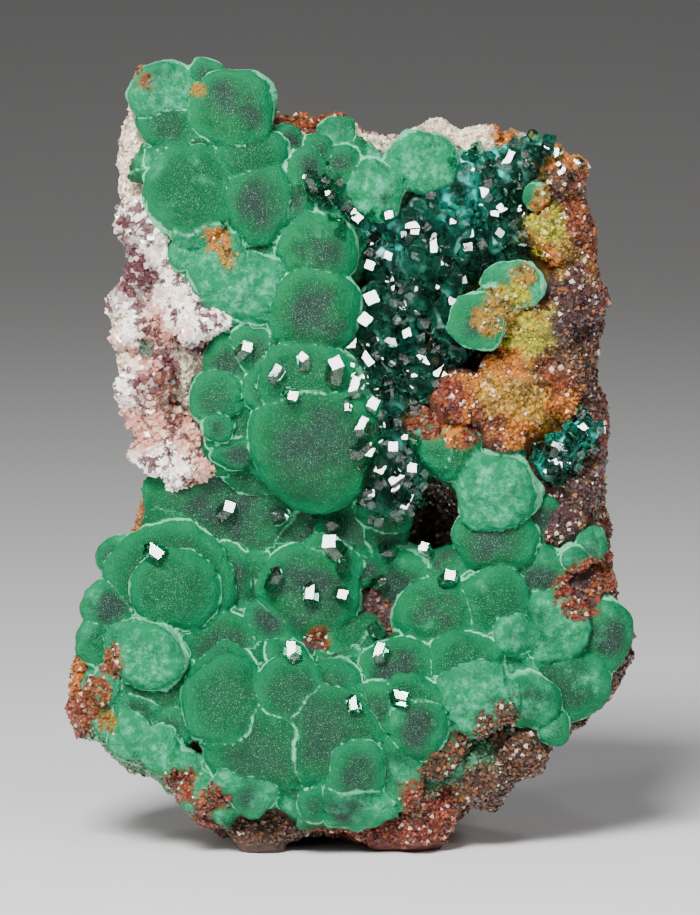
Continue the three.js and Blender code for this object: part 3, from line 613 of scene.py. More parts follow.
def malachite(name, rows, shape):
    step, low, high, skin = (shape[key] for key in ("step", "low", "high", "skin"))
    lifts = np.random.default_rng(13).uniform(-growth["lift"], growth["lift"], len(rows))
    widened = rows * [1, 1, growth["widen"], 1, 1, 1]
    domes = [Dome(row, lift, shape["thin"]) for row, lift in zip(widened, lifts)]
    axes = [np.arange(low[k], high[k] + step, step) for k in range(3)]
    grid = np.stack(np.meshgrid(*axes, indexing="ij"), -1)
    bent = warped(grid.reshape(-1, 3)).reshape(grid.shape)
    field = np.full(grid.shape[:3], 5.0)
    for dome in domes:
        span = dome.radius * max(1, dome.tall) + 4
        cut = tuple(slice(max(0, int((dome.middle[k] - span - low[k]) / step)),
                          max(1, int((dome.middle[k] + span - low[k]) / step) + 2)) for k in range(3))
        d, across = dome.distance(bent[cut])
        field[cut] = np.minimum(field[cut], d)
    close = np.flatnonzero(field.ravel() < 3)
    x, height, forward = seenAt(grid.reshape(-1, 3)[close])
    back = levelAt(x, height) - crustThickness - forward
    flat = field.ravel()
    if skin is not None:
        sheet = forward - levelAt(x, height) + skin + 2.5 * (1 - coveredAt(x, height))
        flat[close] = np.minimum(flat[close], sheet)
    under = growth["foot"] - grid.reshape(-1, 3)[close, 2]
    flat[close] = np.maximum(flat[close], np.maximum(back, under))
    field = flat.reshape(grid.shape[:3])
    for side in (0, -1):
        field[side] = field[:, side] = field[:, :, side] = 5
    points, quads = surfaceNet(field, np.array(low), step)
    near, second, own, other, spread = nearestDomes(domes, warped(points))
    forwards = np.array([dome.forward for dome in domes])
    pales = np.array([dome.pale for dome in domes])
    chance = np.random.default_rng(4).random(len(domes))
    radii = np.array([dome.radius * min(1, dome.tall) for dome in domes])
    stain, tone = stained(*seenAt(points)[:2])
    marks = {
        "edge": np.clip(second - near, 0, 4), "over": (forwards[own] > forwards[other]).astype(float),
        "shore": (1 - spread) * radii[own], "spread": spread, "pale": pales[own], "chance": chance[own],
        "mask": stain * 0.9, "stain": stain, "tone": tone,
    }
    piece = meshObject(name, points, quads, marks)
    out = np.empty(len(points) * 3)
    piece.data.vertices.foreach_get("normal", out)
    lip = growth["lip"] * np.exp(-(marks["edge"] / growth["lipWidth"]) ** 2) * (2 * marks["over"] - 1.2)
    ruffled = growth["crumple"] * smooth(0.25, 0.8, marks["pale"])
    crumple = ruffled * layered(points, growth["crumpleSize"], 91, 4)
    points = points + out.reshape(-1, 3) * (lip + crumple)[:, None]
    piece.data.vertices.foreach_set("co", (points * mm).ravel())
    piece.data.update()
    return piece


# velvet colours; the darkest also paints shade in the middle of the domes, mint also paints sheen toward
# their edges besides colouring the pale lobes, and the two palest paint highlights on rims and sparkling
# specks
velvet = {
    "dark": (0.013, 0.034, 0.024), "mid": (0.001, 0.080, 0.025), "rim": (0.15, 0.66, 0.37),
    "mint": (0.003, 0.225, 0.085), "paintedGlint": (0.22, 0.46, 0.34), "chalk": (0.08, 0.52, 0.29),
    "moss": (0.001, 0.108, 0.028),
}


def malachiteFinish():
    s = Shader("malachite")
    keys = ("spread", "shore", "edge", "over", "pale", "chance")
    spread, shore, edge, over, pale, chance = (s.attribute(key) for key in keys)
    broad = s.noise(2.6, 4)
    # painted shade: many domes are darker in their middle, standing in for how the velvet looks darker
    # face-on to the light
    middle = (1 - (spread + (broad - 0.5) * 1.1).between(0.15, 0.85)) * chance.between(0.15, 0.6)
    colour = s.mix(middle, velvet["mid"], velvet["dark"])
    colour = s.mix(chance * broad.between(0.4, 0.7) * 0.7, colour, velvet["moss"])
    pit = 1 - s.noise(0.1, 0).between(0.28, 0.42)
    colour = s.mix(pit * 0.4, colour, velvet["dark"])
    # painted glints: fine pale specks for the sparkle of the velvet's tiny crystals, more of them toward each
    # dome's middle
    paintedGlints = s.noise(0.085, 0).between(0.66, 0.76)
    colour = s.mix(paintedGlints * (1 - spread.between(0.1, 1.1) * 0.6) * 0.55, colour, velvet["paintedGlint"])
    chalky = s.mix(s.noise(0.9, 5, 0.7).between(0.42, 0.7), velvet["mint"], velvet["chalk"])
    colour = s.mix((pale + (broad - 0.5) * 1.2).between(0.4, 0.9) * 0.9, colour, chalky)
    wander = s.noise(0.4, 3)
    near = shore + (wander - 0.5) * 0.3
    upon = near.between(-0.3, -0.1)
    # painted sheen: each dome turns mint toward its edge, for the velvet catching light at a slant
    colour = s.mix((1 - near.between(0.05, 2.0)) * upon * 0.45, colour, velvet["mint"])
    # painted highlights: thin pale lines along the dome edges, strongest where a lobe lies over its
    # neighbour, for the sheen on the rims
    line = (1 - near.between(0.01, 0.11)) * near.between(-0.15, -0.05)
    colour = s.mix(line * s.noise(4.0, 2).between(0.2, 0.5) * 0.95, colour, velvet["rim"])
    seam = 1 - (edge + (wander - 0.5) * 0.2).between(0.02, 0.12)
    colour = s.mix(seam * over * 0.75, colour, velvet["rim"])
    rusty = s.attribute("stain") * s.noise(0.7, 4, 0.7).between(0.35, 0.55)
    colour = s.mix(rusty, colour, s.colourOf("tone"))
    height = s.noise(0.14, 2) * 0.9 + s.noise(0.6, 3) * 0.8 + pale * s.noise(0.8, 5, 0.75) * 3.5
    nap = s.bump(height, 0.22)
    s.set({"Base Color": colour, "Roughness": 0.5, "Normal": nap, "Specular IOR Level": 0.12})
    return s.material


crustShape = {
    "step": 0.37, "low": (-29.5, -16.6, -0.4), "high": (30.0, 5.0, 81.0), "skin": 0.9, "thin": False,
}
discShape = {"step": 0.25, "low": (8.0, -11.0, 48.0), "high": (20.5, 0.0, 63.0), "skin": None, "thin": True}
budShape = {"step": 0.25, "low": (15.5, -9.0, 60.0), "high": (21.5, 0.0, 70.0), "skin": None, "thin": False}
velvetFinish = malachiteFinish()
crust = malachite("malachiteCrust", np.concatenate([lobes, fillLobes(lobes)]), crustShape)
disc = malachite("malachiteDisc", discLobes, discShape)
bud = malachite("malachiteBud", budLobes, budShape)
for piece, node in ((crust, "malachite_crust"), (disc, "malachite_disc"), (bud, "malachite_bud")):
    piece.data.materials.append(velvetFinish)
    settle(piece, "malachite", node)
print("malachite", [len(p.data.polygons) for p in (crust, disc, bud)])


# matrix
# the near-black spots that sit in the face's cavities and holes are painted shade
rustSpots = [(x, h, rust[key]) for x, h, key in (
    (19.3, 69.3, "orange"), (20.4, 66.6, "brown"), (19.4, 64.2, "lime"), (22.3, 64.4, "rust"),
    (19.8, 62.2, "lime"), (23, 61.2, "rust"), (19.5, 60.5, "orange"), (21.6, 60, "ochre"),
    (18, 59.4, "ochre"), (20.9, 57.2, "plum"), (23, 53.5, "plum"), (17.3, 54.8, "ochre"),
    (18, 51.6, "lime"), (16.6, 53, "lime"), (15.2, 49.8, "orange"), (22.3, 49.8, "brown"),
    (19.2, 48.6, "rust"), (18, 46.2, "gold"), (20.5, 47, "orange"), (14.5, 45.5, "gold"),
    (16.3, 47.2, "ochre"), (12, 46, "orange"), (9.5, 46.3, "red"), (7.4, 46.2, "rust"),
    (13, 43.5, "rust"), (13.5, 41, "red"), (16.2, 42.5, "orange"), (24, 47, "plum"), (24, 42, "plum"),
    (24.3, 38, "plum"), (22.5, 36.5, "plum"), (21, 33.5, "plum"), (23.5, 33, "brown"),
    (19.8, 31.5, "brown"), (22.5, 26.8, "plum"), (24.5, 27.5, "rust"), (23, 24, "plum"),
    (-5, 72.5, "rust"), (-3, 73.5, "rust"), (2.5, 72.5, "chalk"), (5, 72, "chalk"),
    (8.5, 72.5, "chalk"), (11.5, 72.2, "chalk"), (15, 72, "orange"), (18, 71.5, "green"),
    (-19, 79, "rust"), (-22.5, 76, "chalk"), (-22.8, 70, "chalk"), (-22, 66, "chalk"),
    (16, 10.5, "brown"), (12, 8, "brown"), (8, 5, "red"), (5, 2.5, "red"), (13.5, 12.5, "brown"),
    (19, 12, "brown"), (-9, 1.5, "brown"), (-12.5, 4, "brown"), (-16.5, 7.5, "red"), (-26, 14.5, "red"),
    (-25, 17, "orange"), (-23, 11, "green"), (-19.5, 8, "green"), (8, 33, "dark"), (9, 36, "dark"),
    (6.4, 32.5, "dark"), (9.5, 30.5, "dark"), (2.5, 25, "plum"), (12.2, 49.8, "dark"), (6, 30, "dark"),
    (-27.5, 13.5, "rust"), (-21, 9.8, "green"), (-24.5, 12.5, "green"), (-14, 3.6, "red"),
    (-18.5, 6.8, "green"), (22.6, 41.5, "dark"), (10, 9, "green"), (12.4, 11.2, "green"),
    (7.6, 7, "green"), (14.6, 13.6, "green"), (9.4, 12, "green"),
)]
matrix = {
    "voxel": 0.6, "rough": 0.75, "waveSize": 5.0, "knobs": 0.4, "knobSize": 1.7, "sunk": 0.35,
    "stray": 1.5, "straySize": 2.4,
}


def matrixPiece():
    points, normals, faces = lookMesh("gossan_matrix", matrix["voxel"])
    domes = [Dome(row) for row in np.concatenate([lobes, discLobes, budLobes])]
    near = nearestDomes(domes, points)[0]
    x, height, forward = seenAt(points)
    shallow = smooth(-6, -4, forward - levelAt(x, height))
    hidden = coveredAt(x, height) * shallow * smooth(0.4, 1.6, insideAt(x, height))
    exposed = smooth(0.3, 1.0, near) * (1 - hidden)
    facingUs = smooth(0.1, 0.5, -normals[:, 1])
    knobs = matrix["knobs"] * layered(points, matrix["knobSize"], 63, 2)
    wave = layered(points, matrix["waveSize"], 61, 4) + knobs
    move = exposed * matrix["rough"] * wave - (1 - exposed) * matrix["sunk"]
    offFloor, above = smooth(0.2, 1.5, points[:, 2]), smooth(0.7, 1.6, points[:, 2])
    points = points + normals * (move * offFloor)[:, None]
    points[:, 2] = np.maximum(points[:, 2], 0)
    tone = painted(*ragged(points, matrix["stray"], matrix["straySize"], 65), rustSpots, 5)
    shade = layered(points, 9.0, 71, 3)[:, None]
    rear = np.where(shade > 0.25, rust["orange"], np.where(shade < -0.3, rust["plum"], rust["brown"]))
    rear = rear * 0.5 + np.array(rust["rust"]) * 0.5
    front = smooth(-7.0, -2.0, forward) * np.clip(facingUs + 0.6, 0, 1)
    seen = smooth(-7.0, -2.0, forward) * np.clip(facingUs + 0.85, 0, 1)
    tone = tone * seen[:, None] + rear * (1 - seen)[:, None]
    marks = {
        "tone": tone, "clean": smooth(0.35, 0.6, tone[:, 2]),
        "mask": exposed * above * smooth(0.3, 0.6, front), "rear": exposed * above * smooth(0.7, 0.4, front),
    }
    return meshObject("gossanMatrix", points, faces, marks)


def rustFinish():
    s = Shader("gossan")
    tone = s.colourOf("tone")
    patch = s.noise(0.8, 5, 0.75)
    colour = s.mix(patch.between(0.38, 0.62), s.mix(0.7, tone, rust["dark"]), tone)
    colour = s.mix(s.noise(0.5, 3).between(0.6, 0.72) * 0.5, colour, rust["ochre"])
    rough = s.bump(s.noise(0.4, 5, 0.75), 0.35)
    s.set({"Base Color": colour, "Roughness": 0.7, "Normal": rough})
    return s.material


def grainFinish():
    s = Shader("gossanGrain")
    tone, tint = s.colourOf("tone"), s.attribute("tint")
    notChalk = 1 - s.attribute("clean")
    colour = s.mix(tint.between(0.05, 0.45), s.mix(0.75, tone, rust["dark"]), tone)
    patch = s.noise(1.5, 4, 0.65)
    colour = s.mix(patch.between(0.54, 0.68) * notChalk * 0.7, colour, rust["red"])
    colour = s.mix((1 - patch.between(0.34, 0.46)) * tint.between(0.2, 0.5) * 0.4, colour, rust["ochre"])
    # painted shade: dark noise patches off the chalk, standing in for the shade in the cavities between
    # grains
    paintedPitShade = 1 - s.noise(1.0, 3, 0.7).between(0.34, 0.5)
    colour = s.mix(paintedPitShade * notChalk * 0.7, colour, rust["dark"])
    colour = s.mix(tint.between(0.80, 0.84) * (1 - tint.between(0.90, 0.93)) * 0.3, colour, rust["orange"])
    colour = s.mix(tint.between(0.95, 0.97) * 0.5, colour, rust["chalk"])
    s.set({"Base Color": colour, "Roughness": 0.22 + tint * 0.4, "Coat Weight": 0.25, "Coat Roughness": 0.15})
    return s.material


ground = matrixPiece()
ground.data.materials.append(rustFinish())
settle(ground, "gossan", "gossan_matrix")
chip = template("chip", [
    (0.55, 0.05, -0.1), (-0.5, 0.1, 0.05), (0.08, 0.5, 0.0), (-0.05, -0.55, 0.1), (0.1, 0.0, 0.55),
    (-0.08, 0.05, -0.5),
], [(0, 2, 4), (2, 1, 4), (1, 3, 4), (3, 0, 4), (2, 0, 5), (1, 2, 5), (3, 1, 5), (0, 3, 5)])
rhomb = template("rhomb", [
    (-0.5, -0.4, -0.45), (0.5, -0.5, -0.4), (0.6, 0.45, -0.5), (-0.4, 0.55, -0.5),
    (-0.6, -0.5, 0.5), (0.4, -0.6, 0.5), (0.5, 0.4, 0.45), (-0.5, 0.45, 0.4),
], [(0, 3, 2, 1), (4, 5, 6, 7), (0, 1, 5, 4), (1, 2, 6, 5), (2, 3, 7, 6), (3, 0, 4, 7)])
rockGrain = {"spacing": 0.3, "small": 0.3, "large": 0.75, "tilt": 0.8}
rearLump = {"spacing": 0.8, "small": 0.6, "large": 1.3, "tilt": 0.8}
crustGrain = {"spacing": 0.3, "small": 0.3, "large": 0.7, "tilt": 0.8}
grainLook = grainFinish()
grains = [
    scattered("gossanGrains", ground, chip, grainLook, rockGrain, 5),
    scattered("gossanLumps", ground, chip, grainLook, rearLump, 6, "rear"),
    scattered("crustGrains", crust, chip, grainLook, crustGrain, 7),
    scattered("discGrains", disc, chip, grainLook, crustGrain, 8),
    scattered("budGrains", bud, chip, grainLook, crustGrain, 9),
]
for piece in grains:
    settle(piece, "gossan")
print("matrix", [len(p.data.polygons) for p in (ground, *grains)])


# calcite
calcite = {
    "white": (1.0, 0.93, 0.85), "pink": (0.58, 0.27, 0.19), "wine": (0.085, 0.025, 0.032),
    "brown": (0.17, 0.05, 0.03), "voxel": 0.45, "rough": 0.8, "roughSize": 3.4,
    "stray": 1.2, "straySize": 2.2,
}
calciteSpots = [(x, h, calcite[key]) for x, h, key in (
    (-20.5, 66, "white"), (-19.5, 63.5, "white"), (-20, 60.5, "white"), (-21.8, 60, "wine"),
    (-18, 58.5, "white"), (-21, 57, "wine"), (-18, 56, "white"), (-15.5, 56, "white"),
    (-22, 54, "white"), (-19.5, 53.5, "pink"), (-16.5, 53.5, "white"), (-13.5, 53.8, "white"),
    (-21, 50.5, "pink"), (-18, 50.5, "wine"), (-15, 51, "wine"), (-20.5, 47.5, "brown"),
    (-18, 46.5, "brown"), (-20, 44.5, "pink"), (-17, 44, "brown"), (-19, 42, "pink"), (-16, 42, "pink"),
    (-18.5, 39.6, "white"), (-15.5, 39.8, "pink"), (-17, 48.8, "wine"), (-14.6, 49.3, "wine"),
    (-14, 47.5, "wine"), (-19.2, 48.8, "brown"), (-22, 48, "white"),
)]


def calcitePiece():
    points, normals, faces = lookMesh("calcite_patch", calcite["voxel"])
    rough = calcite["rough"] * layered(points, calcite["roughSize"], 81, 4)
    points = points + normals * rough[:, None]
    x, height, forward = seenAt(points)
    tone = painted(*ragged(points, calcite["stray"], calcite["straySize"], 85), calciteSpots, 4)
    marks = {"tone": tone, "mask": smooth(-0.2, 0.3, -normals[:, 1] + 0.3)}
    return meshObject("calcitePatch", points, faces, marks)


def calciteFinish():
    s = Shader("calcite")
    tone, tint = s.colourOf("tone"), s.attribute("tint")
    patch = s.noise(2.2, 5, 0.7)
    colour = s.mix(tint.between(0.6, 1.0) * 0.4, tone, calcite["white"])
    winy = patch.between(0.48, 0.54) * (1 - tint.between(0.55, 0.75))
    colour = s.mix(winy * 0.95, colour, calcite["wine"])
    colour = s.mix((1 - patch.between(0.40, 0.48)) * tint.between(0.3, 0.5) * 0.6, colour, calcite["pink"])
    s.set({"Base Color": colour, "Roughness": 0.2, "Coat Weight": 0.4})
    s.set({"Subsurface Weight": 0.1, "Subsurface Scale": 0.6 * mm})
    return s.material


calciteLook = calciteFinish()
patch = calcitePiece()
patch.data.materials.append(calciteLook)
settle(patch, "calcite", "calcite_patch")
rhombSize = {"spacing": 0.34, "small": 0.26, "large": 0.72, "tilt": 0.9}
rhombs = scattered("calciteRhombs", patch, rhomb, calciteLook, rhombSize, 8)
settle(rhombs, "calcite")
print("calcite", len(patch.data.polygons), len(rhombs.data.polygons))


# dioptase
gem = {
    "steep": 1.233, "ior": 1.66, "tint": (0.01, 0.70, 0.54, 1), "depth": 640.0, "face": (0.85, 1.0, 0.95, 1),
    "endShare": 0.6,  # how many turn an end face, not a side, to the light
    "bedWidth": 1.15, "bedLength": 1.6, "bedLift": 0.3, "bedStray": 0.11, "smallWidth": (0.45, 0.85),
    "oneWidth": 1.1, "oneLift": 0.42, "oneStray": 0.09,
}


def crystalShape(width, length):  # a six-sided prism with three rhombic end faces, about its middle
    arm = width / 2
    turn = np.arange(6) * math.pi / 3
    ring = np.stack([arm * np.cos(turn), arm * np.sin(turn)], 1)
    drop = np.where(np.arange(6) % 2 == 0, 1.0, 0.5) * gem["steep"] * arm
    foot = np.column_stack([ring, np.zeros(6)])
    top = np.column_stack([ring, length - drop])
    points = np.vstack([foot, top, [[0, 0, length]]]) - [0, 0, length / 2]
    faces = [(5, 4, 3, 2, 1, 0)]
    faces += [(i, (i + 1) % 6, 6 + (i + 1) % 6, 6 + i) for i in range(6)]
    faces += [(12, 6 + (i + 5) % 6, 6 + i, 6 + (i + 1) % 6) for i in (0, 2, 4)]
    return points, faces


def turnBetween(a, b):  # the rotation that takes one direction onto another
    v, c = np.cross(a, b), float(np.dot(a, b))
    k = np.array([[0, -v[2], v[1]], [v[2], 0, -v[0]], [-v[1], v[0], 0]])
    return np.eye(3) + k + k @ k / (1 + c)


def spinAbout(axis, angle):
    k = np.array([[0, -axis[2], axis[1]], [axis[2], 0, -axis[0]], [-axis[1], axis[0], 0]])
    return np.eye(3) + math.sin(angle) * k + (1 - math.cos(angle)) * k @ k


def planted(point, width, length, towards, lift, rng):
    end = unit(np.array([gem["steep"], 0, 1.0]))
    side = np.array([math.cos(math.pi / 6), 0.5, 0])
    face = end if rng.random() < gem["endShare"] else side
    turn = spinAbout(towards, rng.uniform(0, 6.28)) @ turnBetween(face, towards)
    points, faces = crystalShape(width, length)
    return points @ turn.T + point + towards * lift * width, faces


def joinedMesh(name, parts, finish):
    points, faces, base = [], [], 0
    for p, f in parts:
        points.append(p)
        faces += [tuple(base + i for i in face) for face in f]
        base += len(p)
    piece = meshObject(name, np.vstack(points), faces, flat=True)
    piece.data.materials.append(finish)
    return piece


def dioptaseFinish():
    s = Shader("dioptase")
    s.set({"Base Color": gem["face"], "Roughness": 0.03, "Transmission Weight": 1.0, "IOR": gem["ior"]})
    depth = s.node("ShaderNodeVolumeAbsorption", None, {"Color": gem["tint"], "Density": gem["depth"]})
    s.tree.links.new(depth.outputs[0], s.output.inputs["Volume"])
    return s.material


def bedFinish():
    s = Shader("dioptaseBed")
    colour = s.mix(s.noise(1.3, 3).between(0.35, 0.65), (0.003, 0.04, 0.026), s.colourOf("tone"))
    s.set({"Base Color": colour, "Roughness": 0.4})
    return s.material


# the bright teal spots on the dioptase bed are painted light, for the glow of light passing through the
# crystals; the deep spots are the bed's own dark colour
deep, paintedLightTeal = (0.006, 0.17, 0.12), (0.010, 0.54, 0.46)
bedSpots = [
    (-2, 65, deep), (0.3, 63.5, paintedLightTeal), (3, 62, paintedLightTeal), (2, 58, deep), (7, 60, deep), (6.5, 64, deep),
    (11, 64.5, paintedLightTeal), (10, 60, deep), (14.2, 69.5, paintedLightTeal), (12, 68, paintedLightTeal), (16.5, 69, deep),
    (15, 64, deep), (5, 54, deep), (8, 52, deep), (2, 46, deep), (4, 40, deep), (22, 42, paintedLightTeal),
    (20.5, 40, paintedLightTeal),
]
bed = [
    (-3.8, 66.6, 1.8, 7.4), (-1.8, 65.0, 1.8, 7.0), (-0.1, 63.2, 1.8, 6.6), (3.2, 63.1, 2.6, 5.2),
    (6.7, 63.5, 2.8, 4.8), (10.7, 65.0, 3.0, 4.6), (14.2, 67.5, 2.8, 4.8), (16.7, 69.0, 2.0, 4.8),
    (11.7, 68.5, 2.3, 4.8), (15.4, 64.0, 2.6, 5.2), (11.2, 61.0, 3.0, 4.8), (7.2, 59.5, 3.0, 5.2),
    (3.2, 59.0, 2.4, 6.2), (15.2, 60.5, 2.0, 5.8), (8.7, 55.5, 3.0, 5.4), (4.7, 55.0, 2.8, 6.2),
    (2.2, 55.0, 2.0, 7.8), (1.7, 52.0, 2.0, 8.8), (5.2, 51.0, 2.8, 7.2), (8.7, 51.0, 2.6, 6.6),
    (-0.1, 49.5, 1.8, 9.6), (2.7, 48.0, 2.4, 8.8), (6.2, 48.5, 2.3, 8.2), (1.2, 45.5, 2.2, 10.2),
    (3.7, 45.0, 2.2, 9.8), (2.1, 42.0, 2.0, 11.2), (3.7, 41.5, 1.9, 10.4), (2.2, 39.1, 2.0, 11.6),
    (4.3, 38.5, 2.0, 10.8), (3.0, 36.4, 2.0, 11.4), (5.1, 36.9, 1.8, 10.4), (18.8, 70.0, 1.5, 4.4),
    (20.6, 69.0, 1.2, 4.6),
]
sideBed = [(22.2, 41.7, 1.6, 7.4), (20.9, 40.2, 1.6, 7.6), (23.2, 42.6, 1.3, 6.8), (19.9, 39.0, 1.4, 7.8)]
bright = [
    (-4.0, 67.5, 1.4), (-2.1, 64.4, 1.4), (0.6, 63.8, 1.3), (3.5, 63.9, 1.2), (6.3, 62.9, 1.2),
    (2.3, 61.5, 1.3), (8.1, 61.0, 1.2), (2.0, 58.8, 1.4), (3.8, 59.9, 1.1), (9.8, 58.6, 1.4),
    (3.9, 57.5, 1.3), (2.1, 55.8, 1.9), (1.3, 53.5, 1.8), (1.5, 52.0, 1.3), (0.1, 50.7, 1.5),
    (1.8, 51.0, 1.2), (8.8, 51.7, 1.4), (5.3, 52.2, 1.2), (7.4, 51.0, 1.4), (8.8, 55.5, 1.3),
    (4.9, 54.9, 1.2), (13.5, 67.6, 1.3), (15.5, 69.3, 1.3), (15.0, 64.8, 1.2), (14.2, 63.8, 1.2),
    (16.9, 63.9, 1.2), (16.3, 60.2, 1.9), (16.5, 67.5, 1.2), (13.3, 66.1, 1.3), (12.3, 59.5, 1.5),
    (11.8, 60.9, 1.3), (1.3, 49.7, 1.3), (4.0, 49.4, 1.2), (5.3, 49.3, 1.2), (-1.5, 48.6, 1.8),
    (0.3, 46.6, 1.4), (3.5, 47.3, 1.4), (2.0, 44.8, 1.6), (7.8, 49.4, 1.2), (8.7, 48.7, 1.2),
    (2.0, 42.5, 1.3), (0.8, 42.7, 1.3), (3.7, 43.2, 1.3), (3.9, 40.6, 1.4), (0.6, 40.4, 1.5),
    (1.7, 40.3, 1.4), (2.3, 37.4, 1.5), (1.6, 36.1, 1.3), (3.2, 35.7, 1.5), (4.6, 37.7, 1.3),
    (3.0, 38.5, 1.4), (5.9, 38.5, 1.4), (4.3, 36.6, 1.3), (5.6, 35.5, 1.4),
]
sideBright = [(22.4, 42.0, 1.4), (21.0, 40.6, 1.4), (23.1, 42.9, 1.1), (19.9, 39.2, 1.2)]
singles = [
    (-10.6, 50.5, 1.5, 1.9), (-7.6, 48.0, 1.3, 1.8), (-5.9, 45.7, 1.5, 1.9), (-4.8, 49.5, 1.3, 1.7),
    (-12.4, 34.5, 1.6, 2.0), (-7.0, 33.9, 1.5, 1.9), (-3.3, 34.0, 1.5, 1.9), (-1.4, 33.2, 1.5, 1.9),
    (-2.0, 31.0, 2.0, 2.4), (-0.9, 28.5, 1.4, 1.8), (-7.7, 27.8, 1.4, 2.6), (-4.1, 26.4, 1.5, 1.9),
    (-1.0, 25.9, 1.5, 1.9), (-6.0, 20.2, 1.6, 2.0), (2.5, 22.2, 1.5, 1.9), (2.7, 20.1, 1.5, 1.9),
    (4.6, 15.9, 1.5, 1.9), (0.1, 15.4, 1.3, 1.7), (9.8, 27.8, 1.6, 2.0), (7.2, 30.5, 1.4, 1.8),
    (3.3, 30.6, 1.5, 1.9), (2.9, 27.2, 1.4, 1.8), (-19.8, 30.4, 1.8, 2.2), (-20.5, 51.0, 1.5, 1.9),
]


class Ground:  # where the line of sight meets some pieces
    def __init__(self, *pieces):
        graph = bpy.context.evaluated_depsgraph_get()
        self.trees = [BVHTree.FromObject(piece, graph) for piece in pieces]

    def touched(self, x, height):
        start, end = onFace(x, height, 40.0) * mm, onFace(x, height, -20.0) * mm
        way = Vector(end - start).normalized()
        hits = [tree.ray_cast(Vector(start), way) for tree in self.trees]
        hits = [hit for hit in hits if hit[0] is not None]
        best = min(hits, key=lambda hit: hit[3])
        return np.array(best[0]) / mm, np.array(best[1])


def bedPiece(name, lumps, step, low, high):
    axes = [np.arange(low[k], high[k] + step, step) for k in range(3)]
    grid = np.stack(np.meshgrid(*axes, indexing="ij"), -1)
    bent = warped(grid.reshape(-1, 3)).reshape(grid.shape)
    field = np.full(grid.shape[:3], 5.0)
    for x, height, radius, forward in lumps:
        p = (bent - onFace(x, height, forward - 0.62 * radius)) / (radius * np.array([1.12, 0.62, 1.12]))
        field = np.minimum(field, (np.linalg.norm(p, axis=-1) - 1) * radius)
    for side in (0, -1):
        field[side] = field[:, side] = field[:, :, side] = 5
    points, quads = surfaceNet(field, np.array(low), step)
    piece = meshObject(name, points, quads, {"tone": painted(*seenAt(points)[:2], bedSpots)})
    outward = np.empty(len(points) * 3)
    piece.data.vertices.foreach_get("normal", outward)
    mask = smooth(-0.1, 0.3, -outward.reshape(-1, 3)[:, 1])
    piece.data.attributes.new("mask", "FLOAT", "POINT").data.foreach_set("value", mask.astype(np.float32))
    return piece


prismSize = {"spacing": 1.0, "small": 0.9, "large": 1.7, "tilt": 0.55}
mainDruse = {
    "lumps": bed, "bright": bright, "small": 130, "seed": 21, "step": 0.4,
    "low": (-7.0, -13.5, 32.0), "high": (23.0, 0.5, 74.0),
}
sideDruse = {
    "lumps": sideBed, "bright": sideBright, "small": 14, "seed": 22, "step": 0.4,
    "low": (17.5, -9.0, 36.0), "high": (26.0, -2.0, 46.0),
}


def druse(name, node, shape):
    rng = np.random.default_rng(shape["seed"])
    lumps, places = shape["lumps"], list(shape["bright"])
    chosen = np.array(lumps)[rng.integers(0, len(lumps), shape["small"])]
    for x, height, radius, forward in chosen:  # small crystals between the listed ones
        turn, out = rng.uniform(0, 6.28), 0.9 * radius * math.sqrt(rng.random())
        width = rng.uniform(*gem["smallWidth"])
        places.append((x + out * math.cos(turn), height + out * math.sin(turn), width))
    floor = bedPiece(name + "Bed", lumps, shape["step"], shape["low"], shape["high"])
    floor.data.materials.append(bedLook)
    settle(floor, "dioptase", node)
    under = Ground(floor, crust, ground)
    parts = []
    for x, height, width in places:
        point, out = under.touched(x, height)
        towards = unit(flash + rng.uniform(-gem["bedStray"], gem["bedStray"], 3))
        wide, long = width * gem["bedWidth"], width * gem["bedLength"]
        parts.append(planted(point, wide, long, towards, gem["bedLift"], rng))
    settle(joinedMesh(name + "Bright", parts, gemLook), "dioptase")
    fill = scattered(name + "Fill", floor, prism, gemLook, prismSize, shape["seed"])
    settle(fill, "dioptase")
    return len(fill.data.polygons)


gemLook, bedLook = dioptaseFinish(), bedFinish()
points, faces = crystalShape(1.0, 1.5)
prism = template("prism", points + [0, 0, 0.25], faces)
made = druse("druse", "dioptase_druse", mainDruse)
made += druse("druseRight", "dioptase_druse_right", sideDruse)
under = Ground(crust, ground, patch, rhombs)
rng = np.random.default_rng(31)
for number, (x, height, width, length) in enumerate(singles, 1):
    point, out = under.touched(x, height)
    towards = unit(flash + rng.uniform(-gem["oneStray"], gem["oneStray"], 3))
    wide, long = width * gem["oneWidth"], length * gem["oneWidth"]
    crystal = planted(point, wide, long, towards, gem["oneLift"], rng)
    piece = joinedMesh(f"crystal{number:02d}", [crystal], gemLook)
    settle(piece, "dioptase", f"dioptase_crystal_{number:02d}")
print("dioptase", made)


# stage, light and camera
stage = {  # in metres
    "front": -3.0, "back": 2.6, "bend": 0.5, "top": 2.5, "half": 4.0,
    "fade": (-0.1, 0.55), "floor": (0.98, 0.98, 0.98), "wall": (0.26, 0.255, 0.25),
}


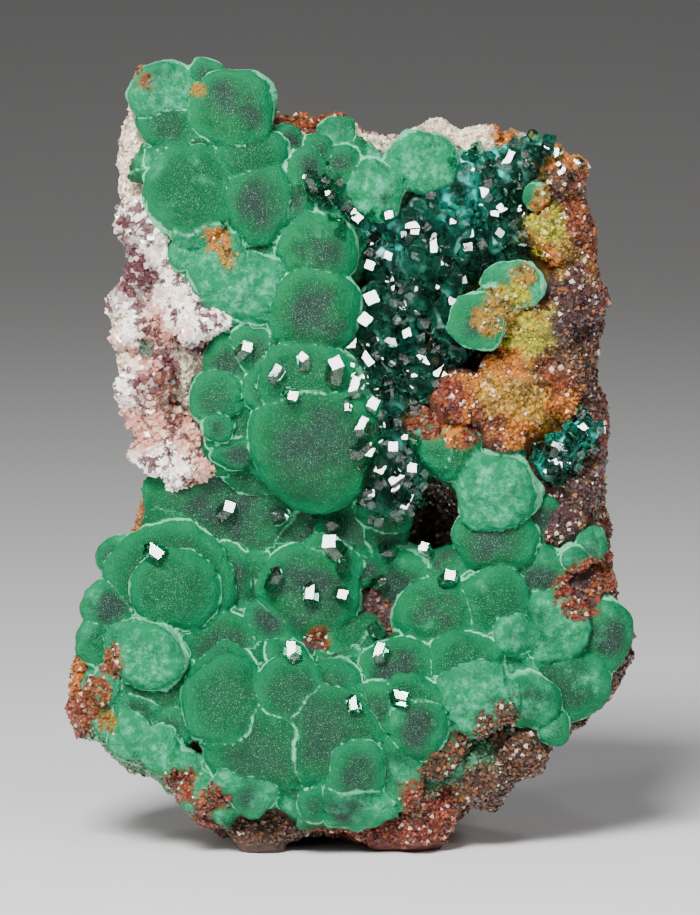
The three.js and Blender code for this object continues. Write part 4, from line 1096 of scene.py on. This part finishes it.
def stageSweep():
    back, bow = stage["back"], stage["bend"]
    turns = np.linspace(0.1, math.pi / 2, 12)
    profile = [(stage["front"], 0.0), (back, 0.0)]
    profile += [(back + bow * math.sin(turn), bow - bow * math.cos(turn)) for turn in turns]
    profile += [(back + bow, stage["top"])]
    points = [(x / mm, y / mm, z / mm) for y, z in profile for x in (-stage["half"], stage["half"])]
    faces = [(2 * i, 2 * i + 1, 2 * i + 3, 2 * i + 2) for i in range(len(profile) - 1)]
    sweep = meshObject("sweep", points, faces)
    s = Shader("sweep")
    depth = Wire(s, s.node("ShaderNodeSeparateXYZ", None, {0: s.place}).outputs["Y"])
    # painted shade: the sweep darkens from the pale floor to a dark grey wall, for the light falling off
    # behind the specimen
    colour = s.mix(depth.between(*stage["fade"]), stage["floor"], stage["wall"])
    s.set({"Base Color": colour, "Roughness": 0.25})
    sweep.data.materials.append(s.material)


def softLight(name, way, distance, size, power, aim=(0, 0, 0.04)):
    data = bpy.data.lights.new(name, "AREA")
    data.shape = "SQUARE"
    data.size = size
    data.energy = power
    lamp = bpy.data.objects.new(name, data)
    lamp.location = Vector(way).normalized() * distance + Vector(aim)
    lamp.rotation_euler = Vector(way).to_track_quat("Z", "Y").to_euler()
    bpy.context.scene.collection.objects.link(lamp)


stageSweep()
softLight("key", keyWay, 0.7, 0.24, 13.0)
softLight("left", (-0.9, -0.6, 0.45), 0.8, 0.14, 1.3)
softLight("right", (0.7, -0.7, 0.6), 0.8, 0.12, 1.1)
softLight("wall", (0, -0.6, 0.9), 0.8, 0.6, 5.0, (0, 1.2, 0.6))
softLight("glintLeft", (-0.5, -0.8, 0.15), 0.8, 0.06, 0.35)
softLight("glintRight", (0.35, -0.8, 0.35), 0.8, 0.06, 0.35)
softLight("glintTop", (0.15, -0.45, 0.9), 0.8, 0.06, 0.35)
world = bpy.data.worlds.new("room")
world.use_nodes = True
world.node_tree.nodes["Background"].inputs["Color"].default_value = (0.8, 0.82, 0.85, 1)
world.node_tree.nodes["Background"].inputs["Strength"].default_value = 0.06
bpy.context.scene.world = world

view = {"distance": 1.4, "tall": 0.0915, "sensor": 36}  # the frame is this tall, in metres, at the specimen
camera = bpy.data.cameras.new("camera")
camera.sensor_width = view["sensor"]
camera.lens = view["sensor"] * view["distance"] / view["tall"]
eye = bpy.data.objects.new("camera", camera)
bpy.context.scene.collection.objects.link(eye)
look = Vector((0, math.cos(viewTilt), -math.sin(viewTilt)))
eye.location = Vector(onFace(-0.3, 39.95, 5.0) * mm) - look * view["distance"]
eye.rotation_euler = look.to_track_quat("-Z", "Y").to_euler()
camera.clip_start, camera.clip_end = 0.1, 10
bpy.context.scene.camera = eye
